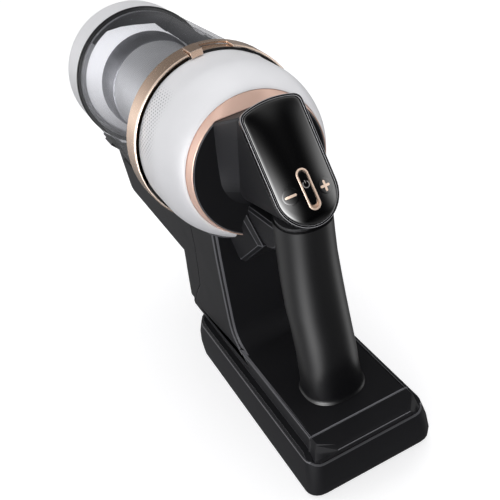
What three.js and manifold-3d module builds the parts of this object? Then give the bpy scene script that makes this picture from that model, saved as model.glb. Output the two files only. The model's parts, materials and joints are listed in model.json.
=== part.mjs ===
// Handheld vacuum cleaner: barrel with bin and cyclone, loop handle, battery foot.
// Millimetres, +Z up, +Y towards the suction inlet, +X to the user's right.
// The origin lies on the flat underside of the battery, below the rear end of the barrel.
import * as THREE from 'three';
import { mergeVertices } from 'three/addons/utils/BufferGeometryUtils.js';
import Module from 'manifold-3d';

const wasm = await Module();
wasm.setup();

// ---- driving dimensions -------------------------------------------------------------------
const AXIS_Z = 185; // height of the barrel's axis above the ground
const GAP = 0.3; // clearance between neighbouring pieces
const SEGMENTS = 60; // facets round the large revolved pieces

const RING_R = 54.2; // exhaust ring, outside
const RING_REAR_R = 44; // exhaust ring, rear opening
const RING_SHOULDER = 27; // length of its rounded shoulder
const RING_FRONT_Y = 51.7;
const COLLAR_R = 57.7; // bin collar, outside
const COLLAR_Y = [51, 66.5];
const BIN_R = 54.2; // bin, outside at its rear end
const BIN_FRONT_R = 52.7;
const BIN_Y = [63, 206.5];
const BIN_WALL = 2.2;
const DOOR_FRONT_Y = 241;
const DOOR_R = 52.9;

const DUCT_R = 17.5; // suction duct, outside
const DUCT_BORE_R = 15.6;
const DUCT_Z = 110;
const DUCT_BEND = 24;
const DUCT_PORT_Y = 108; // where the duct rises into the bin
const INLET_Y = [226.5, 252];

const BODY_HALF = 33.5; // half width of pillar and duct housing
const FOOT_TOP_Z = 43.8;
const FOOT_REAR_Y = -73;
const BATTERY_FRONT_Y = 112;

const PANEL_TILT = 1.052; // the control panel leans 30 degrees back from upright
const PANEL_ORIGIN = [0, -60.9, AXIS_Z + 9.2];
const PANEL_HALF = 16.4;
const PANEL_V = [-19.6, 47.2]; // lower and upper end along the panel
const BEZEL_WALL = 1.5;

// ---- finishes -----------------------------------------------------------------------------
const finish = (color, roughness, metalness = 0, opacity = 1) =>
  new THREE.MeshStandardMaterial({ color, roughness, metalness, opacity, transparent: opacity < 1 });
const satinWhite = finish(0xe6e6e8, 0.42);
const roseGold = finish(0xc79a80, 0.3, 1);
const smokedClear = finish(0x6b6d70, 0.08, 0, 0.35);
const satinBlack = finish(0x232325, 0.45);
const softBlack = finish(0x2b2b2d, 0.6);
const gloss = finish(0x060607, 0.06);
const steel = finish(0xa9abad, 0.35, 1);
const greyPlastic = finish(0x8f9194, 0.5);
const rubber = finish(0x1a1a1b, 0.8);
const circuitGreen = finish(0x1f5a3c, 0.5);
const paperWhite = finish(0xf0efe9, 0.9);
const copper = finish(0xb8744a, 0.35, 1);

// ---- solids -------------------------------------------------------------------------------
// Welds a geometry's corners, drops empty facets and turns it the right way out.
function closed(geometry) {
  for (const name of ['normal', 'uv']) geometry.deleteAttribute(name);
  const welded = mergeVertices(geometry, 1e-4);
  const corner = welded.index.array;
  const facets = [];
  for (let i = 0; i < corner.length; i += 3) {
    const [a, b, c] = [corner[i], corner[i + 1], corner[i + 2]];
    if (a !== b && b !== c && c !== a) facets.push([a, b, c]);
  }
  const p = welded.attributes.position;
  const point = (i) => new THREE.Vector3().fromBufferAttribute(p, i);
  const volume = facets.reduce((sum, [a, b, c]) => sum + point(a).dot(point(b).cross(point(c))), 0);
  welded.setIndex(facets.flatMap(([a, b, c]) => (volume < 0 ? [a, c, b] : [a, b, c])));
  welded.computeVertexNormals();
  return welded;
}

function solid(geometry) {
  const mesh = closed(geometry);
  return new wasm.Manifold(new wasm.Mesh({
    numProp: 3,
    vertProperties: new Float32Array(mesh.attributes.position.array),
    triVerts: new Uint32Array(mesh.index.array),
  }));
}

function geometryOf(manifold) {
  const { vertProperties, triVerts } = manifold.getMesh();
  const geometry = new THREE.BufferGeometry();
  geometry.setAttribute('position', new THREE.BufferAttribute(new Float32Array(vertProperties), 3));
  geometry.setIndex(Array.from(triVerts));
  return closed(geometry);
}

const cut = (body, ...tools) =>
  geometryOf(tools.reduce((left, tool) => left.subtract(solid(tool)), solid(body)));
const keep = (body, ...tools) =>
  geometryOf(tools.reduce((left, tool) => left.intersect(solid(tool)), solid(body)));
const join = (...bodies) => geometryOf(bodies.map(solid).reduce((sum, body) => sum.add(body)));

// A revolved solid about the local Y axis. The profile is a list of [radius, along].
function revolve(profile, segments = SEGMENTS) {
  const points = profile.map(([r, y]) => new THREE.Vector2(r, y));
  const onAxis = profile[0][0] === 0 && profile.at(-1)[0] === 0;
  if (!onAxis) points.push(points[0].clone());
  return closed(new THREE.LatheGeometry(points, segments));
}

const tube = (outer, inner, from, to, segments) =>
  revolve([[inner, from], [outer, from], [outer, to], [inner, to]], segments);
const disc = (r, from, to, segments) => revolve([[0, from], [r, from], [r, to], [0, to]], segments);

function block(x, y, z) {
  const geometry = new THREE.BoxGeometry(x[1] - x[0], y[1] - y[0], z[1] - z[0]);
  return geometry.translate((x[0] + x[1]) / 2, (y[0] + y[1]) / 2, (z[0] + z[1]) / 2);
}

// Skins a stack of loops that all have the same number of points, and closes both ends.
function loft(loops) {
  const count = loops[0].length;
  const centre = (loop) => loop.reduce((sum, p) => sum.add(p), new THREE.Vector3()).divideScalar(count);
  const points = [...loops.flat(), centre(loops[0]), centre(loops.at(-1))];
  const index = [];
  loops.slice(1).forEach((_, k) => {
    for (let i = 0; i < count; i++) {
      const j = (i + 1) % count;
      const [a, b, c, d] = [k * count + i, k * count + j, (k + 1) * count + j, (k + 1) * count + i];
      index.push(a, b, c, a, c, d);
    }
  });
  const [first, last] = [points.length - 2, points.length - 1];
  for (let i = 0; i < count; i++) {
    const j = (i + 1) % count;
    const base = (loops.length - 1) * count;
    index.push(first, j, i, last, base + i, base + j);
  }
  const geometry = new THREE.BufferGeometry().setFromPoints(points);
  geometry.setIndex(index);
  return closed(geometry);
}

// A side view outline of [y, z] points, extruded across the machine to half its width each way.
function acrossX(outline, half, bevel = 0) {
  const shape = outline instanceof THREE.Shape ? outline : shapeOf(outline);
  const geometry = new THREE.ExtrudeGeometry(shape, {
    depth: 2 * (half - bevel), bevelEnabled: bevel > 0, bevelSize: bevel, bevelThickness: bevel,
    bevelOffset: -bevel, bevelSegments: 1, curveSegments: 8,
  });
  geometry.translate(0, 0, bevel - half);
  return geometry.applyMatrix4(new THREE.Matrix4().set(0, 0, 1, 0, 1, 0, 0, 0, 0, 1, 0, 0, 0, 0, 0, 1));
}

// A rectangle with rounded corners, as a loop of points [u, v], its straight sides subdivided.
function roundedLoop(half, low, high, radiusLow, radiusHigh, arcSteps = 6, sideSteps = 6) {
  const loop = [];
  const corner = (u, v, r, start) => {
    for (let i = 0; i <= arcSteps; i++) {
      const a = start + (i / arcSteps) * (Math.PI / 2);
      loop.push([u + r * Math.cos(a), v + r * Math.sin(a)]);
    }
  };
  const side = ([u0, v0], [u1, v1]) => {
    for (let i = 1; i < sideSteps; i++) {
      const t = i / sideSteps;
      loop.push([u0 + t * (u1 - u0), v0 + t * (v1 - v0)]);
    }
  };
  corner(half - radiusHigh, high - radiusHigh, radiusHigh, 0);
  side([half - radiusHigh, high], [radiusHigh - half, high]);
  corner(radiusHigh - half, high - radiusHigh, radiusHigh, Math.PI / 2);
  side([-half, high - radiusHigh], [-half, low + radiusLow]);
  corner(radiusLow - half, low + radiusLow, radiusLow, Math.PI);
  side([radiusLow - half, low], [half - radiusLow, low]);
  corner(half - radiusLow, low + radiusLow, radiusLow, 1.5 * Math.PI);
  side([half, low + radiusLow], [half, high - radiusHigh]);
  return loop;
}

const shapeOf = (loop) => new THREE.Shape(loop.map(([u, v]) => new THREE.Vector2(u, v)));
const plate = (shape, from, to, steps = 1) =>
  new THREE.ExtrudeGeometry(shape, { depth: to - from, bevelEnabled: false, steps, curveSegments: 8 })
    .translate(0, 0, from);

const vacuum = new THREE.Group();

function place(group, name, geometry, material) {
  const mesh = new THREE.Mesh(geometry.index ? geometry : closed(geometry), material);
  mesh.name = name;
  group.add(mesh);
  return mesh;
}

// ---- barrel: everything that is revolved about the long axis ---------------------------------
const barrel = new THREE.Group();
barrel.position.z = AXIS_Z;
vacuum.add(barrel);

// Radius of the exhaust ring's outer face: a soft shoulder that rises to a cylinder.
function ringRadius(y) {
  const u = Math.max(0, (RING_SHOULDER - y) / RING_SHOULDER);
  return RING_REAR_R + (RING_R - RING_REAR_R) * (1 - u ** 1.5) ** (1 / 1.5);
}
const shoulderSteps = [0, 2, 5, 9, 14, 20, RING_SHOULDER];
const ringProfile = (offset) => shoulderSteps.map((y) => [ringRadius(y) + offset, y]);

const ringWall = 2.2;
place(barrel, 'exhaust_ring', revolve([
  ...ringProfile(0), [RING_R, RING_FRONT_Y], [RING_R - ringWall, RING_FRONT_Y],
  ...ringProfile(-ringWall).filter((_, i) => i > 1 && i % 2 === 0).reverse(), [RING_REAR_R, 1.5],
]), satinWhite);

// Everything that stands round the barrel is cut back to this envelope.
const envelope = (gap) => revolve([
  [0, -1], [RING_REAR_R + gap, -1], ...ringProfile(gap),
  [RING_R + gap, COLLAR_Y[0] - gap], [COLLAR_R + gap, COLLAR_Y[0] - gap],
  [COLLAR_R + gap, COLLAR_Y[1] + gap], [BIN_R + gap + 0.3, COLLAR_Y[1] + gap],
  [BIN_R + gap + 0.3, DOOR_FRONT_Y + 20], [0, DOOR_FRONT_Y + 20],
]).translate(0, 0, AXIS_Z);

// Motor frame: carries the motor, the exhaust ring and the collar.
const FRAME_R = 41;
const frameWall = 2.5;
place(barrel, 'motor_frame', revolve([
  [FRAME_R - frameWall, 4], [FRAME_R, 4], [FRAME_R, 44], [RING_R - ringWall - GAP, 45],
  [RING_R - ringWall - GAP, 52.1], [RING_R - 0.2, 52.1], [RING_R - 0.2, 61.5],
  [RING_R - 3, 61.5], [RING_R - 3, 54], [FRAME_R - frameWall, 47.5],
], 48), satinBlack);

// Pleated exhaust filter between the motor frame and the exhaust ring.
const pleats = 30;
const pleatLoop = (inner, outer) => Array.from({ length: 2 * pleats }, (_, i) => {
  const angle = (i / (2 * pleats)) * 2 * Math.PI;
  const r = i % 2 ? outer : inner;
  return [r * Math.cos(angle), r * Math.sin(angle)];
});
const pleatShape = shapeOf(pleatLoop(43.6, 49.6));
pleatShape.holes.push(shapeOf(pleatLoop(41.8, 47.8)));
place(barrel, 'exhaust_filter', plate(pleatShape, 18, 40).rotateX(-Math.PI / 2), paperWhite);

// Collar: a slot is cut from its rear edge for the tab of the lock ring.
const TAB = [-0.12, 0.016];
const SLOT = [-0.128, 0.384];
function sector(inner, outer, start, end, from, to) {
  const shape = new THREE.Shape();
  shape.absarc(0, 0, outer, start, end, false);
  shape.absarc(0, 0, inner, end, start, true);
  const curveSegments = Math.ceil((end - start) * 6);
  return new THREE.ExtrudeGeometry(shape, { depth: to - from, bevelEnabled: false, curveSegments })
    .translate(0, 0, from)
    // angles are measured from straight up towards +X
    .applyMatrix4(new THREE.Matrix4().set(0, 1, 0, 0, 0, 0, 1, 0, 1, 0, 0, 0, 0, 0, 0, 1));
}
const collarWall = 1.8;
const collarBody = revolve([
  [COLLAR_R - collarWall, COLLAR_Y[0]], [COLLAR_R - 1.1, COLLAR_Y[0]], [COLLAR_R - 0.4, COLLAR_Y[0] + 1],
  [COLLAR_R, COLLAR_Y[1] - 1], [COLLAR_R - 0.7, COLLAR_Y[1]], [COLLAR_R - collarWall, COLLAR_Y[1]],
]);
place(barrel, 'bin_collar', cut(collarBody,
  sector(50, 62, ...SLOT, COLLAR_Y[0] - 1, 61.5)), roseGold);
place(barrel, 'lock_ring', join(
  tube(COLLAR_R - collarWall - GAP, RING_R + GAP, 52.4, 62),
  sector(RING_R + GAP + 0.3, 59.2, ...TAB, 48.5, 61.2),
), roseGold);

// Foot disc of the handle's head: a circle whose top is cut off level.
const HEAD_R = 41.4;
const HEAD_CHORD_Z = 36.3;
const HEAD_FRONT_Y = -6;
function headDiscLoop(offset) {
  const r = HEAD_R + offset;
  const chord = HEAD_CHORD_Z + offset;
  const half = Math.acos(chord / r);
  return Array.from({ length: 49 }, (_, i) => {
    const a = half + (i / 48) * 2 * (Math.PI - half);
    return [r * Math.sin(a), r * Math.cos(a)];
  });
}
const headDisc = (offset, from, to) => plate(shapeOf(headDiscLoop(offset)), from, to)
  .applyMatrix4(new THREE.Matrix4().set(1, 0, 0, 0, 0, 0, 1, 0, 0, 1, 0, 0, 0, 0, 0, 1));

// Rose-gold trim plate: it rises from the round exhaust opening to a thin lip round the foot disc.
const LIP = 0.7;
const trimHalf = Math.acos((HEAD_CHORD_Z + LIP) / (HEAD_R + LIP));
function trimLoop(radius, chord, y) {
  return Array.from({ length: 52 }, (_, i) => {
    const across = -trimHalf + (i / 8) * 2 * trimHalf;
    const round = trimHalf + ((i - 8) / 44) * 2 * (Math.PI - trimHalf);
    const a = i < 8 ? across : round;
    const r = Math.cos(a) > 0 ? Math.min(radius, chord / Math.cos(a)) : radius;
    return new THREE.Vector3(r * Math.sin(a), y, r * Math.cos(a));
  });
}
const trimBody = (grow) => loft([
  trimLoop(HEAD_R + LIP + grow, HEAD_CHORD_Z + LIP + grow, HEAD_FRONT_Y + 0.2 - grow),
  trimLoop(HEAD_R + LIP + 0.4 + grow, HEAD_CHORD_Z + LIP + 0.4 + grow, HEAD_FRONT_Y + 0.6),
  trimLoop(43.4 + grow, 42.6 + grow, -0.8),
  trimLoop(RING_REAR_R - GAP + grow, 60, 0),
  trimLoop(RING_REAR_R - GAP + grow, 60, 1.2),
  trimLoop(42.8, 60, 3.4),
]);
place(barrel, 'trim_plate', cut(trimBody(0), headDisc(GAP, -8, 8)), roseGold);

// Motor with its two-sided rubber suspension, shaft, bearings, rotor and impeller.
const SHAFT_R = 3;
place(barrel, 'motor_can', revolve([
  [4, 6], [24, 6], [26, 8], [26, 34], [23.6, 34], [23.6, 9],
  [10, 9], [10, 13], [7.8, 13], [7.8, 8.6], [4, 8.6],
], 28), steel);
place(barrel, 'stator_core', tube(23.2, 12, 14, 30, 32), greyPlastic);
place(barrel, 'motor_mount_rear', tube(38.2, 26.4, 9, 15, 28), rubber);
place(barrel, 'motor_mount_front', tube(38.2, 26.4, 27, 33, 28), rubber);
place(barrel, 'bearing_rear', tube(7.5, SHAFT_R + 0.08, 9, 13, 32), steel);
place(barrel, 'bearing_front', tube(7.5, SHAFT_R + 0.08, 31, 35, 32), steel);
place(barrel, 'rotor_shaft', disc(SHAFT_R, 7, 53, 32), steel);
place(barrel, 'rotor_magnet', tube(11.6, 3.1, 14.5, 29.5, 28), greyPlastic);
place(barrel, 'bearing_bridge', revolve([
  [7.8, 31], [23.2, 31], [23.2, 34.3], [26, 34.3], [26, 36.4], [4, 36.4], [4, 35.3], [7.8, 35.3],
], 32), satinBlack);

// Mixed-flow impeller: a flared hub with swept blades.
const blades = 9;
function blade(turn) {
  const loops = [];
  const steps = 4;
  for (let i = 0; i <= steps; i++) {
    const t = i / steps;
    const y = 51 - 12 * t;
    const hub = 6.5 + 15.5 * t ** 1.8;
    const tip = 20 + 3.4 * t;
    const angle = turn + 0.9 * t ** 1.4;
    const half = 0.55;
    const at = (r, side) => new THREE.Vector3(
      r * Math.sin(angle) + side * Math.cos(angle), y, r * Math.cos(angle) - side * Math.sin(angle));
    loops.push([at(hub - 1.5, -half), at(tip, -half), at(tip, half), at(hub - 1.5, half)]);
  }
  return loft(loops);
}
const hubProfile = Array.from({ length: 5 }, (_, i) => [6.5 + 15.5 * (i / 4) ** 1.8, 51 - 12 * (i / 4)]);
place(barrel, 'impeller_shroud', revolve([
  [20.8, 52], [22, 52], [26.2, 38.5], [38.2, 36], [38.2, 34.6], [28, 36.6], [24.4, 38.4],
], 28), greyPlastic);
place(barrel, 'impeller', join(
  revolve([[3.1, 51], ...hubProfile, [22, 37.2], [3.1, 37.2]], 24),
  ...Array.from({ length: blades }, (_, i) => blade((i / blades) * 2 * Math.PI))), greyPlastic);

// ---- bin with door, cyclone and pre-motor filter ---------------------------------------------
const portTool = disc(16.5, -20, 20, 28).rotateX(Math.PI / 2).translate(0, DUCT_PORT_Y, -BIN_R);
place(barrel, 'bin_shell', cut(revolve([
  [BIN_R - BIN_WALL, BIN_Y[0]], [BIN_R, BIN_Y[0]],
  [BIN_FRONT_R, BIN_Y[1]], [BIN_FRONT_R - BIN_WALL, BIN_Y[1]],
]), portTool), smokedClear);

place(barrel, 'bin_door', revolve([
  [DOOR_R, BIN_Y[1] + GAP], [DOOR_R, DOOR_FRONT_Y - 8], [DOOR_R - 0.8, DOOR_FRONT_Y - 4.5],
  [DOOR_R - 3, DOOR_FRONT_Y - 1.5], [DOOR_R - 7, DOOR_FRONT_Y], [0, DOOR_FRONT_Y + 1.5],
  [0, BIN_Y[1] + 1.5], [46, BIN_Y[1] + 1.5], [46, BIN_Y[1] + GAP],
]), satinWhite);
const sealR = BIN_FRONT_R - BIN_WALL - GAP - 0.1;
place(barrel, 'door_seal', tube(sealR, 46.6, BIN_Y[1] - 3.6, BIN_Y[1], 36), rubber);

const SKIRT_Y = [168.8, 191.5];
const MESH_R = 35.3;
place(barrel, 'cyclone_skirt', revolve([
  [33.4, SKIRT_Y[0]], [35.6, SKIRT_Y[0]], [38, SKIRT_Y[1]], [36.6, SKIRT_Y[1]], [34.4, SKIRT_Y[0] + 2.5],
  [33.4, SKIRT_Y[0] + 2.5],
], 48), greyPlastic);
place(barrel, 'mesh_grille', tube(MESH_R, MESH_R - 0.9, 84, SKIRT_Y[0] - GAP, 48), steel);
place(barrel, 'cyclone_head', revolve([
  [18, 77], [46, 77], [BIN_R - BIN_WALL - 0.9, 78.5], [BIN_R - BIN_WALL - 0.9, 81], [MESH_R, 83.7],
  [18, 83.7]], 44), satinBlack);

// Ring of small cones that spin the fine dust out behind the mesh.
const cones = 8;
function cone(turn) {
  const profile = [[0, 84.2], [7.6, 84.2], [7.6, 104], [3.6, 146], [0, 146]];
  return revolve(profile, 12).translate(23.4 * Math.sin(turn), 0, 23.4 * Math.cos(turn));
}
place(barrel, 'cyclone_cones', join(
  disc(25, 146 - 2, 150, 32),
  ...Array.from({ length: cones }, (_, i) => cone((i / cones) * 2 * Math.PI))), greyPlastic);
place(barrel, 'fine_dust_cup', revolve([
  [0, 150.4], [26, 150.4], [30, 168], [22, 196], [22, BIN_Y[1] - 2], [20, BIN_Y[1] - 2],
  [20, 195], [27.6, 168], [24, 153], [0, 153]], 32), satinBlack);

place(barrel, 'filter_frame', revolve([
  [47, 66], [50.8, 66], [50.8, 76.4], [20, 76.4], [20, 74.6], [47, 74.6]], 40), satinBlack);
place(barrel, 'premotor_filter', disc(46.6, 66.4, 74.2, 40), paperWhite);

// Door hinge on the far side, its axis upright beside the bin's rim; latch below on the near side.
const HINGE = [DOOR_R + 2.6, BIN_Y[1] + 1.2];
const alongHinge = (r, low, high) => disc(r, low, high, 16).rotateX(Math.PI / 2)
  .translate(HINGE[0], HINGE[1], 0);
const knuckle = (low, high) => alongHinge(2.6, low, high);
const hingeBore = alongHinge(1.4, -20, 20);
const hingeArm = (low, high, from, to) => block([DOOR_R - 1.4, HINGE[0]], [from, to], [low, high]);
place(barrel, 'hinge_leaf_bin', cut(join(
  knuckle(-13, -5), knuckle(5, 13),
  block([BIN_FRONT_R + 0.5, HINGE[0] + 2], [HINGE[1] - 16, HINGE[1] - 1.2], [-13, 13]),
), hingeBore, block([40, 70], [HINGE[1] - 3.2, HINGE[1] + 4], [-5, 5])), satinBlack);
place(barrel, 'hinge_pin', alongHinge(1.3, -13, 13), steel);
const doorKnuckle = join(knuckle(-4.7, 4.7), hingeArm(-4.7, 4.7, HINGE[1] - 0.6, HINGE[1] + 2.4));
place(barrel, 'hinge_leaf_door', cut(doorKnuckle, hingeBore, disc(DOOR_R + GAP, 150, 260, 64)), satinBlack);

// Sliding latch of the door, low on the near side; it rides on the outside of the bin.
const LATCH_ANGLE = -2.34;
const latchSector = (inner, outer, spread, from, to) =>
  sector(inner, outer, LATCH_ANGLE - spread, LATCH_ANGLE + spread, from, to);
const latchPad = join(
  latchSector(BIN_R + 0.2, 57.4, 0.12, 186, 203),
  latchSector(BIN_R + 0.2, 56, 0.12, 202, 211),
);
const gripGroove = (y) => latchSector(56.6, 60, 0.09, y, y + 1.4);
place(barrel, 'door_latch', cut(latchPad, ...[188.5, 191.5, 194.5, 197.5].map(gripGroove)), satinBlack);

// ---- suction duct ------------------------------------------------------------------------
const arcPull = 0.5523; // handle length of a cubic that follows a quarter circle
function ductPath(frontY, topZ) {
  const point = (y, z) => new THREE.Vector3(0, y, z);
  const bendY = DUCT_PORT_Y + DUCT_BEND;
  const pull = DUCT_BEND * (1 - arcPull);
  const path = new THREE.CurvePath();
  path.add(new THREE.LineCurve3(point(frontY, DUCT_Z), point(bendY, DUCT_Z)));
  path.add(new THREE.CubicBezierCurve3(point(bendY, DUCT_Z), point(DUCT_PORT_Y + pull, DUCT_Z),
    point(DUCT_PORT_Y, DUCT_Z + pull), point(DUCT_PORT_Y, DUCT_Z + DUCT_BEND)));
  path.add(new THREE.LineCurve3(point(DUCT_PORT_Y, DUCT_Z + DUCT_BEND), point(DUCT_PORT_Y, topZ)));
  return path;
}
function pipe(path, outer, inner, steps) {
  const shape = new THREE.Shape().absarc(0, 0, outer, 0, 2 * Math.PI);
  if (inner) shape.holes.push(new THREE.Path().absarc(0, 0, inner, 0, 2 * Math.PI));
  return new THREE.ExtrudeGeometry(shape, { extrudePath: path, steps, curveSegments: 10 });
}
const binClearance = disc(BIN_R + GAP + 0.2, 60, 260, 64).translate(0, 0, AXIS_Z);
place(vacuum, 'suction_duct', cut(
  pipe(ductPath(INLET_Y[0] - GAP, 142), DUCT_R, DUCT_BORE_R, 12), binClearance), satinBlack);

const inletGroup = new THREE.Group();
inletGroup.position.z = DUCT_Z;
vacuum.add(inletGroup);
place(inletGroup, 'inlet_coupling', revolve([
  [DUCT_BORE_R, INLET_Y[0]], [20.6, INLET_Y[0]], [20.6, INLET_Y[0] + 4], [18.8, INLET_Y[0] + 5.4],
  [18.8, 236], [17.9, 237], [17.9, 240], [18.8, 241], [18.8, INLET_Y[1] - 1.2], [17.6, INLET_Y[1]],
  [DUCT_BORE_R, INLET_Y[1]]], 28), roseGold);
place(inletGroup, 'inlet_contacts', join(
  block([-7, 7], [INLET_Y[0], 240], [-26.6, -21.4]),
  ...[-4, 0, 4].map((x) => block([x - 0.9, x + 0.9], [239, 243], [-25, -22.8]))), copper);

// ---- body shells: pillar, foot and duct housing ---------------------------------------------
// A level loop at height z, its corners rounded to one radius at the rear and another at the front.
const level = (z, half, rear, front, radiusRear, radiusFront, arcSteps = 5) =>
  roundedLoop(half, rear, front, radiusRear, radiusFront, arcSteps, 1)
    .map(([x, y]) => new THREE.Vector3(x, y, z));

const UNDERSIDE_Z = FOOT_TOP_Z - 9.8;
const NOSE_Y = 228;
const bodyOutline = new THREE.Shape();
bodyOutline.moveTo(10.4, 151);
bodyOutline.lineTo(18.3, 122.6);
bodyOutline.splineThru([[23.9, 99.4], [31, 67.5], [32.4, 58]].map(([y, z]) => new THREE.Vector2(y, z)));
bodyOutline.bezierCurveTo(32.6, 50, 28, FOOT_TOP_Z - 0.6, 14, FOOT_TOP_Z - 0.8);
bodyOutline.lineTo(0, FOOT_TOP_Z - 0.8);
bodyOutline.lineTo(0, UNDERSIDE_Z);
bodyOutline.lineTo(124, UNDERSIDE_Z);
bodyOutline.lineTo(126, UNDERSIDE_Z + 2);
bodyOutline.quadraticCurveTo(117, 60, 104, 88);
bodyOutline.lineTo(NOSE_Y - 9, 88);
bodyOutline.quadraticCurveTo(NOSE_Y, 88, NOSE_Y, 97);
bodyOutline.lineTo(NOSE_Y, 124);
bodyOutline.quadraticCurveTo(NOSE_Y, 130.6, NOSE_Y - 7, 130.6);
bodyOutline.lineTo(205, 130.6);
bodyOutline.lineTo(205, 151);

// The foot's flanks lean inwards; each row is [height, half width].
const footRim = [[29.4, 37.2], [37, 35.2], [43, 33.8], [FOOT_TOP_Z, 33]];
const foot = loft(footRim.map(([z, half]) => level(z, half, FOOT_REAR_Y, 122, 0.1, 9, 3)));
const underside = acrossX([
  [-71, UNDERSIDE_Z], [140, UNDERSIDE_Z], [140, 10], [-95, 10], [-95, 23.5]], 60);
// Cradle: the duct housing's top is hollowed to the bin and reaches a little way up its sides.
const CRADLE_FROM = 2.2; // angle from straight up
const cradle = sector(BIN_R + 0.6, BIN_R + 2.6, CRADLE_FROM, 2 * Math.PI - CRADLE_FROM, 78, 150)
  .translate(0, 0, AXIS_Z);
// Parting line between the rear shell and the front shell, as seen from the side.
const seam = (offset) => acrossX([
  [61.6, 170], [61.6, 127], [65.6, 111], [76.2, 87], [85.5, 67], [105.8, 47], [117, 32], [117, 0],
  [300, 0], [300, 170],
].map(([y, z]) => [y + offset, z]), 70);

const TONGUE_HALF = 12;
const latchPocket = block([-TONGUE_HALF - GAP, TONGUE_HALF + GAP], [-80, -67.7], [36.2, 41.8]);
const springBore = disc(2.4, -69, -50, 16).translate(0, 0, 40);
const dockPocket = block([-28, 28], [-46, 86], [20, 40.2]);
const barrelEnvelope = envelope(GAP);
const bodyBlock = join(acrossX(bodyOutline, BODY_HALF + 0.5, 2.2), foot);
place(vacuum, 'body_shell_rear', cut(
  bodyBlock, seam(-GAP / 2), barrelEnvelope, underside, latchPocket, springBore, dockPocket,
), satinBlack);
place(vacuum, 'body_shell_front', cut(
  keep(join(bodyBlock, cradle), seam(GAP / 2)), barrelEnvelope, underside,
  pipe(ductPath(INLET_Y[0] - GAP, 142), DUCT_R + GAP, 0, 12),
  disc(21, INLET_Y[0] - GAP, 240, 40).translate(0, 0, DUCT_Z),
  block([-7.4, 7.4], [INLET_Y[0] - GAP, 240], [DUCT_Z - 27, DUCT_Z - 21])), satinBlack);

// Battery dock in the foot's underside, with the terminal block that dips into the battery.
const DOCK_TERMINAL_Y = [44, 60];
place(vacuum, 'battery_dock', join(
  block([-27.6, 27.6], [-45.6, 85.6], [34.2, 39.8]),
  block([-11, 11], DOCK_TERMINAL_Y, [27.4, 35])), softBlack);
[-5, 5].forEach((x, i) => place(vacuum, `dock_terminal_${i + 1}`,
  block([x - 0.5, x + 0.5], [47, 57], [24.2, 27.1]), copper));

// Release bar: carries the foot's shape on to the rear, where its lip overhangs a finger recess.
// Each level is [height, half width at the foot, half width and y of the lip's edge].
const barLevels = [[27, 37.9, 34.6, -80.6], [30, 37, 33, -81.6], [37, 35.2, 28.6, -86],
  [42.7, 33.9, 24.6, -90.3], [FOOT_TOP_Z, 33, 23.8, -87]];
const BAR_FRONT_Y = FOOT_REAR_Y - GAP;
const BAR_CORNER_Y = -79.4;
const releaseBar = loft(barLevels.map(([z, root, lip, y]) => [
  [root, BAR_FRONT_Y], [lip, BAR_FRONT_Y], [-lip, BAR_FRONT_Y], [-root, BAR_FRONT_Y],
  [-root, Math.max(y + 2, BAR_CORNER_Y)], [-lip, y], [lip, y], [root, Math.max(y + 2, BAR_CORNER_Y)],
].map(([x, along]) => new THREE.Vector3(x, along, z))));
const batterySlope = (lift) => acrossX([
  [-60, 38.2 + lift], [-100, 20.8 + lift], [-100, 10], [-60, 10]], 60);
place(vacuum, 'battery_latch', join(cut(releaseBar, batterySlope(GAP)),
  block([-TONGUE_HALF, TONGUE_HALF], [FOOT_REAR_Y - 2, -68], [36.5, 41.5])), satinBlack);
class Helix extends THREE.Curve {
  getPoint(t) {
    const angle = 2 * Math.PI * 6 * t;
    return new THREE.Vector3(1.6 * Math.cos(angle), -67.4 + 16.8 * t, 40 + 1.6 * Math.sin(angle));
  }
}
place(vacuum, 'latch_spring', new THREE.ExtrudeGeometry(
  new THREE.Shape().absarc(0, 0, 0.32, 0, 2 * Math.PI),
  { extrudePath: new Helix(), steps: 48, curveSegments: 2 }), steel);

// ---- battery --------------------------------------------------------------------------------
// Each level is [height, half width, rear end, distance of the front end behind the foremost point].
const batteryLevels = [[0, 42.6, -78, 4], [1.4, 44, -79.4, 2], [10, 43.6, -82.6, 0], [20, 42.6, -83.4, 1.5],
  [26, 41.6, -82.8, 4], [31.8, 40.8, -81.4, 7.5], [33.4, 39.4, -80, 9.5]];
const batteryBody = cut(
  loft(batteryLevels.map(([z, half, rear, back]) => level(z, half, rear, BATTERY_FRONT_Y - back, 9, 19))),
  acrossX([[-70.8, 60], [-70.8, 33.5], [-100, 20.8], [-120, 20.8], [-120, 60]], 60));
const CASE_TOP = 30.4;
const slice = (low, high) => block([-60, 60], [-100, 130], [low, high]);
place(vacuum, 'battery_case', cut(keep(batteryBody, slice(-1, CASE_TOP)),
  loft([2.4, 32].map((z) => level(z, 39.2, -75.5, 100, 6, 14)))), satinBlack);
place(vacuum, 'battery_lid', cut(keep(batteryBody, slice(CASE_TOP + GAP, 40)),
  block([-12, 12], [DOCK_TERMINAL_Y[0] - 1, DOCK_TERMINAL_Y[1] + 1], [20, 40])), satinBlack);
const CELL_R = 10.6;
const CELL_PITCH = 24;
for (let i = 0; i < 5; i++) {
  place(vacuum, `cell_${i + 1}`, disc(CELL_R, -35, 35, 24).rotateZ(Math.PI / 2)
    .translate(0, -58 + i * CELL_PITCH, 13.4), greyPlastic);
}
place(vacuum, 'battery_board', block([-28, 28], [54, 92], [22.2, 23.8]), circuitGreen);

// ---- handle: head, control panel and grip ----------------------------------------------------
const panel = new THREE.Group();
panel.position.set(...PANEL_ORIGIN);
panel.rotation.x = PANEL_TILT;
panel.updateMatrix();
vacuum.add(panel);

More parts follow.
